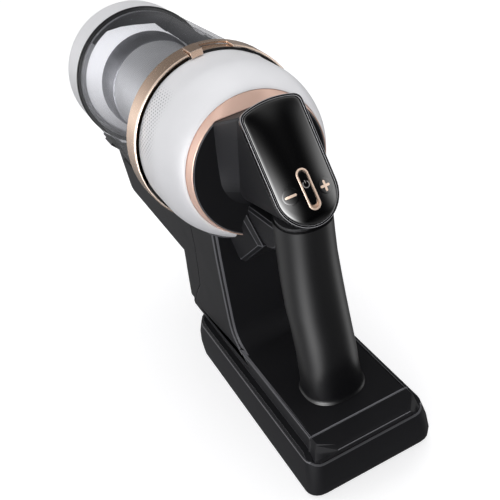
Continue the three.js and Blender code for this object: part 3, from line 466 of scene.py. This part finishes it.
# ---- Bin door -------------------------------------------------------------------------------
# A shallow white cap that swings open to empty the bin, moulded in the same ABS as the exhaust
# ring, with a soft round over its front edge.
DOOR_REAR, DOOR_FRONT = door_low.y * 1000, door_high.y * 1000
DOOR_ROUND = 8
DOOR_SWELL = 1.6  # the middle of the cap stands this far in front of its round
round_over = [(DOOR_R - DOOR_ROUND + DOOR_ROUND * math.cos(math.radians(a)),
               DOOR_FRONT - DOOR_SWELL - DOOR_ROUND + DOOR_ROUND * math.sin(math.radians(a)))
              for a in range(0, 91, 10)]
door_cap = spun([(0, DOOR_REAR + 1.2), (46, DOOR_REAR + 1.2), (46, DOOR_REAR), (DOOR_R - 0.3, DOOR_REAR),
                 (DOOR_R, DOOR_REAR + 0.4), *round_over, (24, DOOR_FRONT - 0.7), (0, DOOR_FRONT)], steps=200)
piece("door_cap", door_cap, white_abs, "door", "bin_door")
# The inner face glows: painted light that stands in for light shining through the thin cap,
# most of it in the upper part.
glowing_abs = moulded("glowing thin white ABS", "#E6E6E9", 0.4, Emission_Color=linear("#F4F5F8"))
tree = glowing_abs.node_tree
height = add(tree, "ShaderNodeSeparateXYZ",
             Vector=tree.nodes["Texture Coordinate"].outputs["Object"]).outputs["Z"]
painted_glow = add(tree, "ShaderNodeMapRange", {
    "From Min": 0.14, "From Max": 0.2, "To Min": 0.05, "To Max": 0.9}, Value=height).outputs["Result"]
tree.links.new(painted_glow, tree.nodes["Principled BSDF"].inputs["Emission Strength"])
inner_face = spun([(0, DOOR_REAR + 1.4), (0, DOOR_REAR + 0.9), (45.7, DOOR_REAR + 0.9),
                   (45.7, DOOR_REAR + 1.4)])
piece("door_inner_face", inner_face, glowing_abs, "door")

# ---- Hinge and door latch -------------------------------------------------------------------
# Two hinge leaves and a sliding latch with finger grooves, moulded in black acetal and held by a
# steel pin and a snap rail.

# Acetal is a waxy black, between dull and glossy.
acetal = moulded("black acetal", "#1A1A1B", 0.38)
for name, body in (("hinge_leaf_bin", "bin"), ("hinge_leaf_door", "door"), ("door_latch", "door_latch")):
    moulding(name + "_moulding", name, acetal, body, 0.3)

# ---- Suction duct and inlet -----------------------------------------------------------------
# The duct is a bent tube of black ABS that carries the dust up into the bin. Its mouth is a
# rose gold coupling that the wand snaps on to, over three copper contacts in a black block.

# A deep dull black, with a painted highlight along its edges: paler there, and glossier.
satin_black = with_painted_edge_highlight(moulded("satin black ABS", "#1B1B1D", 0.45, grain_mm=0.3, depth_mm=0.008,
                              Specular_IOR_Level=0.08))
moulding("duct_tube", "suction_duct", satin_black, "body", 0.3, sharp=45)
inlet_low, inlet_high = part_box("inlet_coupling")
INLET = Matrix.Translation((0, 0, (inlet_low.z + inlet_high.z) / 2)) @ Matrix.Scale(0.001, 4)
INLET_REAR, INLET_FRONT = inlet_low.y * 1000, inlet_high.y * 1000
BORE_R, FLANGE_R, SPIGOT_R, GROOVE_R = 15.6, 20.6, 18.8, 17.9
GROOVE_REAR, GROOVE_FRONT = 236, 241  # the groove for the wand's catch
coupling = spun([(BORE_R, INLET_REAR), (FLANGE_R, INLET_REAR), (FLANGE_R, INLET_REAR + 4),
                 (SPIGOT_R, INLET_REAR + 5.4), (SPIGOT_R, GROOVE_REAR), (GROOVE_R, GROOVE_REAR + 1),
                 (GROOVE_R, GROOVE_FRONT - 1), (SPIGOT_R, GROOVE_FRONT), (SPIGOT_R, INLET_FRONT - 1.2),
                 (17.6, INLET_FRONT), (BORE_R, INLET_FRONT)], steps=120)
piece("coupling", soften(coupling, 0.25, angle=25), rose_gold, "body", "inlet_coupling", at=INLET)
# A flash of gold on copper: warm and bright.
copper = metallised("gold flashed copper", "#D9A066", 0.25, metallic=1.0)
dress(copper, "inlet_contacts", "dock_terminal_1", "dock_terminal_2")

# ---- Body shells ----------------------------------------------------------------------------
# Pillar, duct housing and foot are two satin black ABS mouldings that meet at a slanting seam and
# are held by hidden screws. Every outer edge has a mould radius that catches the light, with a painted
# highlight on it.
moulding("rear_shell", "body_shell_rear", satin_black, "body", 0.8, segments=3, clamp=False, halved=True)
moulding("front_shell", "body_shell_front", satin_black, "body", 0.6, segments=3)
dress(nylon, "battery_dock")
dress(drawn_steel, "latch_spring")

# ---- Battery and release bar ----------------------------------------------------------------
# A flat pack of five cells in a tray of black ABS, closed by a lid. The bar behind the foot is
# pulled back to free it, against a coil spring.

# A coarser grain than the body's, with a painted highlight of plain grey on its edges.
battery_black = with_painted_edge_highlight(moulded("fine grained black ABS", "#1C1C1E", 0.5, grain_mm=0.45, depth_mm=0.02,
                                Specular_IOR_Level=0.06), highlight_colour="#7C7C80")
FAINT_HIGHLIGHT_Y = -78  # behind this the rim's painted highlight is made fainter
tray = cad_copy("battery_case", 0.8, segments=3, clamp=False)
highlight_layer = tray.faces.layers.float["edge"]
for face in tray.faces:
    if face.calc_center_median().y < FAINT_HIGHLIGHT_Y:
        face[highlight_layer] *= 0.3
piece("battery_tray", tray, battery_black, "battery", "battery_case", at=GROUND)
moulding("battery_cover", "battery_lid", battery_black, "battery", 0.5)
moulding("release_bar", "battery_latch", satin_black, "battery_latch", 0.5, angle=66, clamp=False)
# Shrink sleeve on the cells: thin green PVC, drawn tight and glossy. Solder mask is a duller green.
sleeve = moulded("green shrink sleeve", "#2C7A57", 0.25, grain_mm=2.0)
board = moulded("green solder mask", "#1F5A3C", 0.35, grain_mm=0.6)
dress(sleeve, "cell_1", "cell_2", "cell_3", "cell_4", "cell_5")
dress(board, "battery_board", "control_board")

# ---- Head of the handle ---------------------------------------------------------------------
# One satin black ABS moulding: a foot disc on the barrel, a neck with crisp folds that narrows to
# the bezel of the control panel, and a web below that stiffens the joint with the grip.
power = next(j for j in frame["joints"] if j["name"] == "power_press")
NORMAL = -Vector(power["axis"])  # out of the panel
UP = NORMAL.cross(Vector((1, 0, 0))).normalized()  # up the panel
panel_low, panel_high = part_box("control_panel")
PANEL_HALF = (panel_high.x - panel_low.x) * 500
PANEL_ORIGIN = Vector((0, -0.0609, AXIS.z + 0.0092))
PANEL = Matrix.Translation(PANEL_ORIGIN) @ Matrix((
    (0.001, 0, 0, 0), (0, UP.y / 1000, NORMAL.y / 1000, 0),
    (0, UP.z / 1000, NORMAL.z / 1000, 0), (0, 0, 0, 1)))
PANEL_TOP, PANEL_LOW, PANEL_WAIST = 47.2, -19.6, -2.4
BEZEL_WALL = 1.5


def curve(start, pull, end, steps=12):
    """Points after the start of a quadratic curve."""
    return [tuple((1 - t) ** 2 * a + 2 * t * (1 - t) * b + t * t * c for a, b, c in zip(start, pull, end))
            for t in (i / steps for i in range(1, steps + 1))]


def head_outline(half, top, low, waist, corner, sag):
    """Outline (u, v) of the head: a low arch on top, straight flanks and a half round lower end."""
    shoulder = top - sag
    edge = shoulder + sag * 0.35
    flank = [waist + (shoulder - corner - waist) * i / 16 for i in range(17)]
    points = [(half, v) for v in flank]
    points += curve(points[-1], (half, shoulder), (half - corner, edge), 8)
    points += curve(points[-1], (0, top + sag * 0.65), (corner - half, edge), 24)
    points += curve(points[-1], (-half, shoulder), (-half, shoulder - corner), 8)
    points += [(-half, v) for v in reversed(flank[:-1])]
    turns = [math.pi * (1 + i / 32) for i in range(1, 32)]
    return points + [(half * math.cos(a), waist + (waist - low) * math.sin(a)) for a in turns]


def panel_outline(grow):
    """Outline of the panel, grown evenly."""
    return head_outline(PANEL_HALF + grow, PANEL_TOP + grow, PANEL_LOW - grow, PANEL_WAIST, 3 + grow, 3)


# The neck's loops stand in the barrel's frame: under the bezel, at the crease, and on the disc.
to_barrel = BARREL.inverted() @ PANEL
under_bezel = [to_barrel @ Vector((u, v, -3.3)) for u, v in panel_outline(BEZEL_WALL)]
crease = [Vector((u, -36.5 + (48.4 - z) * 0.4534, z))
          for u, z in head_outline(PANEL_HALF + BEZEL_WALL, 47.6, -22.4, -2.7, 2, 0.8)]
on_disc = [Vector((u * (1 - 0.006 * max(0, z)), -4.6, z)) for u, z in head_outline(27.2, 36, -26, 0, 2, 0.2)]
between = [[a.lerp(b, t) for a, b in zip(crease, on_disc)] for t in (0.25, 0.5, 0.75)]
neck = soften(skinned([under_bezel, crease, *between, on_disc]), 0.5, angle=14)
# A painted highlight lightens the flanks in front of the crease, more towards the top.
FLANK_HIGHLIGHT = 0.16
FLANK_Y, FLANK_LOW, FLANK_FADE = -33, -14, 18
highlight_layer = neck.faces.layers.float["edge"]
for face in neck.faces:
    middle = face.calc_center_median()
    if middle.y > FLANK_Y and abs(face.normal.x) > 0.6:
        face[highlight_layer] = FLANK_HIGHLIGHT * min(1, max(0, (middle.z - FLANK_LOW) / FLANK_FADE))
piece("head_neck", neck, satin_black, "body", "handle_head", sharp=25)

HEAD_R, HEAD_CHORD, HEAD_DEPTH = 41.4, 36.3, 9.2
HEAD_FRONT = 3.2
disc = bmesh.new()
bmesh.ops.create_circle(disc, cap_ends=True, radius=HEAD_R, segments=160)
bmesh.ops.bisect_plane(disc, geom=whole(disc), plane_co=(0, HEAD_CHORD, 0), plane_no=(0, 1, 0),
                       clear_outer=True)
bmesh.ops.contextual_create(disc, geom=[e for e in disc.edges if e.is_boundary])
drawn_out(disc, disc.faces[:], (0, 0, HEAD_DEPTH))
bmesh.ops.rotate(disc, cent=(0, 0, 0), matrix=Matrix.Rotation(math.pi / 2, 3, "X"), verts=disc.verts)
bmesh.ops.translate(disc, vec=(0, HEAD_FRONT, 0), verts=disc.verts)
bmesh.ops.recalc_face_normals(disc, faces=disc.faces)
piece("head_foot_disc", soften(disc, 0.5), satin_black, "body")


def web(outline, half, chamfer, spread=0.0):
    """A side view outline of (y, z) drawn out across the machine, its flanks spread to the barrel."""
    bm = bmesh.new()
    side = bm.faces.new([bm.verts.new((-half, y, z)) for y, z in outline])
    drawn_out(bm, [side], (2 * half, 0, 0))
    bmesh.ops.recalc_face_normals(bm, faces=bm.faces)
    rims = [e for e in bm.edges if abs(e.verts[0].co.x - e.verts[1].co.x) < 0.01]
    bmesh.ops.bevel(bm, geom=rims, offset=chamfer, affect="EDGES", segments=1, profile=0.5, material=-1)
    for v in bm.verts:
        forward = min(1, max(0, (v.co.y + 6) / 30))
        upward = min(1, max(0, (v.co.z + 72) / 32))
        v.co.x *= 1 + spread * forward * upward
    return soften(bm, 0.25, angle=20, segments=2)


piece("head_web", web([(-5.8, -24.8), (-21.8, -39.4), (-17.3, -43), (19.6, -71.6), (18, -62.4),
                       (11.4, -38.5), (9.2, -30), (6, -22)], 18, 2, spread=0.72), satin_black, "body")
piece("head_web_filling", web([(-46, -16), (-44, -30), (-33.5, -37), (-27.5, -39), (-21, -39), (-6, -30),
                               (-6, -20)], 14.8, 1.6), satin_black, "body")

# ---- Grip -----------------------------------------------------------------------------------
# A sleeve of charcoal soft-touch elastomer over an ABS core, oval and nearly straight, flared to
# a thin foot ring where it meets the foot.

# Near black with a soft, broad highlight.
soft_touch = moulded("charcoal soft touch elastomer", "#0E0E10", 0.34, grain_mm=0.35, depth_mm=0.02,
                     Specular_IOR_Level=0.55)
grip_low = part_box("grip_sleeve")[0]
# Height, middle in y, half width and half depth of each section.
SECTIONS = [(grip_low.z * 1000, -40.4, 20.2, 19.8), (45.0, -40.5, 19.6, 19.2), (45.6, -40.5, 19.1, 18.7),
            (47.2, -40.7, 18.8, 18.4), (53, -41, 18.4, 18), (61, -41.7, 18.1, 17.9), (73, -43.2, 17.8, 17.9),
            (92, -43.2, 17.4, 18), (111, -42.8, 17.4, 18), (130, -44, 16.8, 18), (147, -45.8, 16.1, 18),
            (160, -48, 15.8, 18), (172, -50.2, 15.6, 18)]


def squared(value):
    """A sine or cosine, made a little fuller so that the oval is slightly squared."""
    return math.copysign(abs(value) ** 0.86, value)


def oval(z, y, half_width, half_depth):
    """A slightly squared oval at height z."""
    turns = [2 * math.pi * i / 72 for i in range(72)]
    return [(half_width * squared(math.cos(t)), y + half_depth * squared(math.sin(t)), z) for t in turns]


grip = skinned([oval(*section) for section in SECTIONS])
piece("grip", grip, soft_touch, "body", "grip_sleeve", at=GROUND, sharp=60)
dress(nylon, "grip_core")

# ---- Panel bezel ----------------------------------------------------------------------------
# A thin frame of black ABS with a polished, rounded edge, set in the head. It holds the control
# panel.

# Polished black, with a painted highlight: a pale line along its rounded edge.
polished_black = with_painted_edge_highlight(moulded("polished black ABS", "#111113", 0.18, grain_mm=0.8, depth_mm=0.002),
                         highlight_colour="#9A9A9D")
BEZEL_LOW, BEZEL_HIGH, BEZEL_GAP = -3.1, 0.5, 0.15
bezel = skinned([[(u, v, n) for u, v in panel_outline(grow)] for grow, n in
                 ((BEZEL_WALL, BEZEL_LOW), (BEZEL_WALL, BEZEL_HIGH), (BEZEL_GAP, BEZEL_HIGH),
                  (BEZEL_GAP, BEZEL_LOW))], low_cap=False, high_cap=False)
bmesh.ops.bridge_loops(bezel, edges=[e for e in bezel.edges if e.is_boundary])
bmesh.ops.recalc_face_normals(bezel, faces=bezel.faces)
soften(bezel, 0.3, angle=60)
piece("bezel", bezel, polished_black, "body", "panel_bezel", at=PANEL, sharp=60)

# ---- Control panel --------------------------------------------------------------------------
# A crowned shell of piano black acrylic over the keys, diamond polished, so that it mirrors its
# surroundings. It is pierced for the power button and the two round keys.
PILL_LOW, PILL_HIGH = -9.3, 6.5
KEYS = {"minus_key": (-9.6, -1.5), "plus_key": (9.6, -3.2)}
KEY_R = 4.3
# A mirror under a clear coat: black, with the room in it.
piano_black = moulded("piano black acrylic", "#040405", 0.05, grain_mm=8.0, depth_mm=0.0, cloud=0.1,
                      Coat_Weight=1.0, Coat_Roughness=0.02, Coat_IOR=1.55)


def crown(u, v):
    """Height of the crown above the frame: 5.6 mm low down, less towards the top, and rolled off
    at both ends and across."""
    swell = 5.6 - 3 * (max(v, -9) + 9) / 56
    fall = max(0.0, (-9 - v) / 11.4, (v - 34) / 15)
    return swell * math.sqrt(max(0.01, 1 - fall ** 2)) * (1 - (u / (PANEL_HALF + 0.4)) ** 2)


def crowned(outline, low, lift=0.0, edge=0.35):
    """A plate with this outline whose top follows the crown, its rim rounded over."""
    middle = sum(v for _, v in outline) / len(outline)

    def inward(share):
        return [(u * share, middle + (v - middle) * share) for u, v in outline]

    loops = [[(u, v, low) for u, v in outline]]
    reach = max(abs(u) for u, _ in outline)
    for inset, drop in ((0.0, edge), (0.3 * edge, 0.3 * edge), (edge, 0.0)):
        loops.append([(u, v, crown(u, v) + lift - drop) for u, v in inward(1 - inset / reach)])
    for share in (0.9, 0.8, 0.7, 0.6, 0.5, 0.4, 0.3, 0.2, 0.1, 0.02):
        loops.append([(u, v, crown(u, v) + lift) for u, v in inward(share)])
    return skinned(loops)


def pill(radius, low=PILL_LOW, high=PILL_HIGH):
    """Outline of an upright slot with round ends."""
    ends = [(high, i) for i in range(25)] + [(low, i) for i in range(24, 49)]
    return [(radius * math.cos(math.pi * i / 24), v + radius * math.sin(math.pi * i / 24)) for v, i in ends]


def ring_outline(u, v, radius):
    """Outline of a round key or of its opening."""
    turns = [math.tau * i / 48 for i in range(48)]
    return [(u + radius * math.cos(a), v + radius * math.sin(a)) for a in turns]


def carved(made, tools):
    """Cuts closed outlines right through a piece."""
    made.modifiers.clear()
    cutters = []
    for outline in tools:
        bm = skinned([[(u, v, n) for u, v in outline] for n in (-9, 12)])
        bm.transform(PANEL)
        mesh = bpy.data.meshes.new("cutter")
        bm.to_mesh(mesh)
        bm.free()
        cutter = bpy.data.objects.new("cutter", mesh)
        bpy.context.scene.collection.objects.link(cutter)
        cutters.append(cutter)
        cut = made.modifiers.new("cut", "BOOLEAN")
        cut.object = cutter
    bpy.context.view_layer.update()
    solid = bpy.data.meshes.new_from_object(made.evaluated_get(bpy.context.evaluated_depsgraph_get()))
    made.modifiers.clear()
    made.data = solid
    bm = bmesh.new()
    bm.from_mesh(solid)
    for edge in bm.edges:
        edge.smooth = len(edge.link_faces) == 2 and edge.calc_face_angle(0) < math.radians(40)
    bm.to_mesh(solid)
    bm.free()
    made.modifiers.new("flat faces", "WEIGHTED_NORMAL").keep_sharp = True
    for cutter in cutters:
        bpy.data.objects.remove(cutter)


panel = piece("panel", crowned(panel_outline(-0.05), -2.4, edge=0.6), piano_black, "body",
              "control_panel", at=PANEL, sharp=60)
carved(panel, [pill(3.45)] + [ring_outline(u, v, KEY_R + 0.03) for u, v in KEYS.values()])

# ---- Button ring ----------------------------------------------------------------------------
# A thin rose gold ring round the power button, with a sloping finger rest filling its lower end.
# It is hot foiled and fills the slot in the panel.

# Hot foil: a pale rosy sheen, half way between metal and paint.
foil = metallised("rose gold hot foil", "#F1D5C1", 0.3, metallic=0.35)
button_ring = piece("oval_ring", crowned(pill(3.4), -2.2, lift=0.35, edge=0.25), foil, "body",
                    "button_ring", at=PANEL, sharp=60)
carved(button_ring, [pill(2.45)])
rest = skinned([[(u, v, n) for u, v in pill(2.42, PILL_LOW, PILL_LOW + 1.4)] for n in (1.2, 3.6)])
bmesh.ops.bisect_plane(rest, geom=whole(rest), plane_co=(0, PILL_LOW - 2.4, 5.6), plane_no=(0, 0.75, 1),
                       clear_outer=True)
bmesh.ops.contextual_create(rest, geom=[e for e in rest.edges if e.is_boundary])
piece("oval_ring_rest", rest, foil, "body", at=PANEL)

# ---- Power button and keys ------------------------------------------------------------------
# Gloss black acrylic caps that follow the panel's crown, each printed or inlaid with its sign.
# They slide in the panel's openings, over a mat of silicone rubber.
CAP_FOOT = -4.4  # each cap reaches this far down under the panel
piece("power_cap", crowned(pill(2.3, PILL_LOW + 1.6), CAP_FOOT, lift=-0.5, edge=0.3), piano_black,
      "power_button", "power_button", at=PANEL, sharp=60)
for name, (u, v) in KEYS.items():
    loops = [[(x, y, CAP_FOOT) for x, y in ring_outline(u, v, KEY_R)]]
    for share, drop in ((1, 0.02), (0.99, 0), (0.8, 0), (0.6, 0), (0.4, 0), (0.2, 0), (0.03, 0)):
        loops.append([(x, y, crown(x, y) - drop) for x, y in ring_outline(u, v, KEY_R * share)])
    piece(name + "_cap", skinned(loops), piano_black, name, name, at=PANEL, sharp=60)


def laid(bm, lift=0.0):
    """Bends a flat sign on to the crown, in its place."""
    for v in bm.verts:
        v.co.z += crown(v.co.x, v.co.y) + lift
    return bm


def bar(u, v, length, width, upright=False):
    """A bar with round ends and a soft top, as a stack of outlines."""
    ends = [(side, math.pi * (i / 12 + start)) for side, start in ((1, -0.5), (-1, 0.5)) for i in range(13)]
    outline = [(side * (length / 2 - width / 2) + width / 2 * math.cos(a), width / 2 * math.sin(a))
               for side, a in ends]
    turned = [(-y, x) if upright else (x, y) for x, y in outline]
    bm = skinned([[(u + share * x, v + share * y, n) for x, y in turned]
                  for share, n in ((1, -0.25), (1, 0.06), (0.94, 0.14))])
    long_edges = [e for e in bm.edges if e.calc_length() > 1.5]
    bmesh.ops.subdivide_edges(bm, edges=long_edges, cuts=5, use_grid_fill=True)
    return bm


signs = [("minus_sign", "minus_key", 6.0, 1.35, False), ("plus_sign_level", "plus_key", 6.0, 1.4, False),
         ("plus_sign_upright", "plus_key", 6.0, 1.4, True)]
for name, key, length, width, upright in signs:
    piece(name, laid(bar(*KEYS[key], length, width, upright)), foil, key, at=PANEL, sharp=50)

# The power sign is pad printed in a flat warm grey: an open ring and a stroke.
ink = moulded("grey pad printing ink", "#8D8A88", 0.5)
POWER_V = 1.2
POWER_R, LINE_WIDTH, LINE_DEPTH = 1.7, 0.42, 0.2
OPEN_RING_START, OPEN_RING_SWEEP = math.radians(125), math.radians(290)
arc = bmesh.new()
bmesh.ops.create_grid(arc, x_segments=1, y_segments=1, size=0.5)
bmesh.ops.scale(arc, vec=(LINE_WIDTH, LINE_DEPTH, 1), verts=arc.verts)
bmesh.ops.rotate(arc, cent=(0, 0, 0), matrix=Matrix.Rotation(math.pi / 2, 3, "X"), verts=arc.verts)
bmesh.ops.translate(arc, vec=(POWER_R, 0, 0), verts=arc.verts)
bmesh.ops.rotate(arc, cent=(0, 0, 0), matrix=Matrix.Rotation(OPEN_RING_START, 3, "Z"), verts=arc.verts)
bmesh.ops.spin(arc, geom=whole(arc), cent=(0, 0, 0), axis=(0, 0, 1), angle=OPEN_RING_SWEEP, steps=40)
bmesh.ops.remove_doubles(arc, verts=arc.verts, dist=1e-4)
stroke = bmesh.ops.create_cube(arc, size=1.0)["verts"]
bmesh.ops.scale(arc, vec=(LINE_WIDTH, 1.5, LINE_DEPTH), verts=stroke)
bmesh.ops.translate(arc, vec=(0, 1.45, 0), verts=stroke)
bmesh.ops.translate(arc, vec=(0, POWER_V, 0), verts=arc.verts)
bmesh.ops.recalc_face_normals(arc, faces=arc.faces)
piece("power_sign", laid(arc, lift=-0.46), ink, "power_button", at=PANEL)
dress(silicone, "key_mat")

# ---- Floor ----------------------------------------------------------------------------------
# A plain pale floor of painted board. The camera sees it a shade brighter than it is, so that it
# runs out to white and keeps the soft shadow of the machine.
floor_paint = bpy.data.materials.new("matt white floor paint")
floor_paint.use_nodes = True
tree = floor_paint.node_tree
shader = tree.nodes["Principled BSDF"]
shader.inputs["Base Color"].default_value = linear("#C8C8CA")
shader.inputs["Roughness"].default_value = 0.9
shader.inputs["Emission Color"].default_value = (1, 1, 1, 1)
ray = add(tree, "ShaderNodeLightPath").outputs
seen = add(tree, "ShaderNodeMath", {"operation": "MAXIMUM"}, i0=ray["Is Camera Ray"],
           i1=ray["Is Transmission Ray"])
lift = add(tree, "ShaderNodeMath", {"operation": "MULTIPLY", 1: 0.6}, i0=seen.outputs[0]).outputs[0]
tree.links.new(lift, shader.inputs["Emission Strength"])
ground = bmesh.new()
bmesh.ops.create_grid(ground, x_segments=1, y_segments=1, size=6)
mesh = bpy.data.meshes.new("floor")
ground.to_mesh(mesh)
ground.free()
floor = bpy.data.objects.new("floor", mesh)
mesh.materials.append(floor_paint)
bpy.context.scene.collection.objects.link(floor)
floor.visible_glossy = False  # gloss sees the room below the horizon instead, which is lit for it

# ---- Studio light ---------------------------------------------------------------------------
# An even white room for the eye and for matt surfaces. Gloss sees a room that is dark behind the
# machine, dim high ahead and below the horizon, with soft round glows low, level and high.
world = bpy.data.worlds.new("studio")
bpy.context.scene.world = world
world.use_nodes = True
tree = world.node_tree
ray = add(tree, "ShaderNodeLightPath").outputs
towards = add(tree, "ShaderNodeTexCoord").outputs["Generated"]


def glow(direction, sharpness, strength):
    """A soft round panel of light in one direction of the room."""
    cosine = add(tree, "ShaderNodeVectorMath", {
        "operation": "DOT_PRODUCT", 1: Vector(direction).normalized()}, i0=towards)
    ahead = add(tree, "ShaderNodeMath", {"operation": "MAXIMUM", 1: 0.0}, i0=cosine.outputs["Value"])
    falloff = add(tree, "ShaderNodeMath", {"operation": "POWER", 1: sharpness}, i0=ahead.outputs[0])
    lit = add(tree, "ShaderNodeMath", {"operation": "MULTIPLY", 1: strength}, i0=falloff.outputs[0])
    return lit.outputs[0]


height = add(tree, "ShaderNodeSeparateXYZ", Vector=towards).outputs["Z"]
room = add(tree, "ShaderNodeMapRange", {"From Min": -0.15, "From Max": 0.05, "To Min": 0.2, "To Max": 1.0},
           Value=height).outputs["Result"]
DIM_ZONES = [((0.22, -0.9, 0.37), 0.35, 0.9, 0.8, 0.02),  # behind the machine, where the camera stands
             ((0.2, 0.8, 0.55), 0.55, 0.97, 1.0, 0.12)]  # high ahead
for direction, outer, inner, bright, dark in DIM_ZONES:
    cosine = add(tree, "ShaderNodeVectorMath", {
        "operation": "DOT_PRODUCT", 1: Vector(direction).normalized()}, i0=towards)
    zone = add(tree, "ShaderNodeMapRange", {
        "interpolation_type": "SMOOTHSTEP", "From Min": outer, "From Max": inner,
        "To Min": bright, "To Max": dark}, Value=cosine.outputs["Value"]).outputs["Result"]
    room = add(tree, "ShaderNodeMath", {"operation": "MULTIPLY"}, i0=room, i1=zone).outputs[0]
GLOWS = [((-0.8, -0.36, -0.5), 14, 2.0),  # low at the left
         ((0.83, -0.12, -0.53), 30, 1.3),  # low at the right
         ((-0.62, 0.78, -0.03), 10, 0.8),  # ahead at the left
         ((-0.88, -0.46, 0.1), 10, 11.0),  # level at the left, the brightest
         ((0.97, -0.2, 0.1), 14, 1.0),  # level at the right
         ((0.2, -0.5, 0.84), 40, 0.28)]  # high above, small and faint
for direction, sharpness, strength in GLOWS:
    room = add(tree, "ShaderNodeMath", {"operation": "ADD"}, i0=room,
               i1=glow(direction, sharpness, strength)).outputs[0]
unseen = add(tree, "ShaderNodeMix", {"data_type": "FLOAT", 2: 0.6}, i0=ray["Is Glossy Ray"],
              i3=room).outputs[0]
seen = add(tree, "ShaderNodeMath", {"operation": "MAXIMUM"}, i0=ray["Is Camera Ray"],
           i1=ray["Is Transmission Ray"]).outputs[0]
level = add(tree, "ShaderNodeMix", {"data_type": "FLOAT", 3: 1.0}, i0=seen, i2=unseen).outputs[0]
tree.links.new(level, tree.nodes["Background"].inputs["Strength"])
tree.nodes["Background"].inputs["Color"].default_value = (1, 1, 1, 1)


MACHINE_MIDDLE = Vector((0, 0.05, 0.12))


def lamp(name, where, size, watts, tall=None):
    """A softbox that looks at the middle of the machine."""
    light = bpy.data.lights.new(name, "AREA")
    light.shape = "RECTANGLE"
    light.size = size
    light.size_y = tall or size
    light.energy = watts
    made = bpy.data.objects.new(name, light)
    made.location = where
    made.rotation_euler = (MACHINE_MIDDLE - Vector(where)).to_track_quat("-Z", "Y").to_euler()
    made.visible_glossy = False
    bpy.context.scene.collection.objects.link(made)


lamp("left softbox", (-0.75, -1.25, 0.6), 0.7, 7, tall=1.0)
lamp("right softbox", (1.1, -0.7, 0.9), 0.7, 3, tall=1.0)
lamp("overhead softbox", (0.1, 0.4, 1.7), 1.2, 7)

# ---- Camera ---------------------------------------------------------------------------------
# Close above the handle's left rear, looking forward and down along the barrel. It is turned
# about the upright axis, then tilted, then rolled about its own line of sight.
camera = bpy.data.objects.new("camera", bpy.data.cameras.new("camera"))
bpy.context.scene.collection.objects.link(camera)
camera.data.sensor_width = 36
camera.data.lens = 58.8376
camera.data.clip_start = 0.01
HEADING, TILT, ROLL = math.radians(-17.4031), math.radians(57.8045), math.radians(-14.6959)
turned = Matrix.Rotation(HEADING, 4, "Z") @ Matrix.Rotation(TILT, 4, "X") @ Matrix.Rotation(ROLL, 4, "Z")
camera.matrix_world = Matrix.Translation((-0.14213, -0.398277, 0.395629)) @ turned
bpy.context.scene.camera = camera
bpy.context.scene.view_settings.view_transform = "Standard"
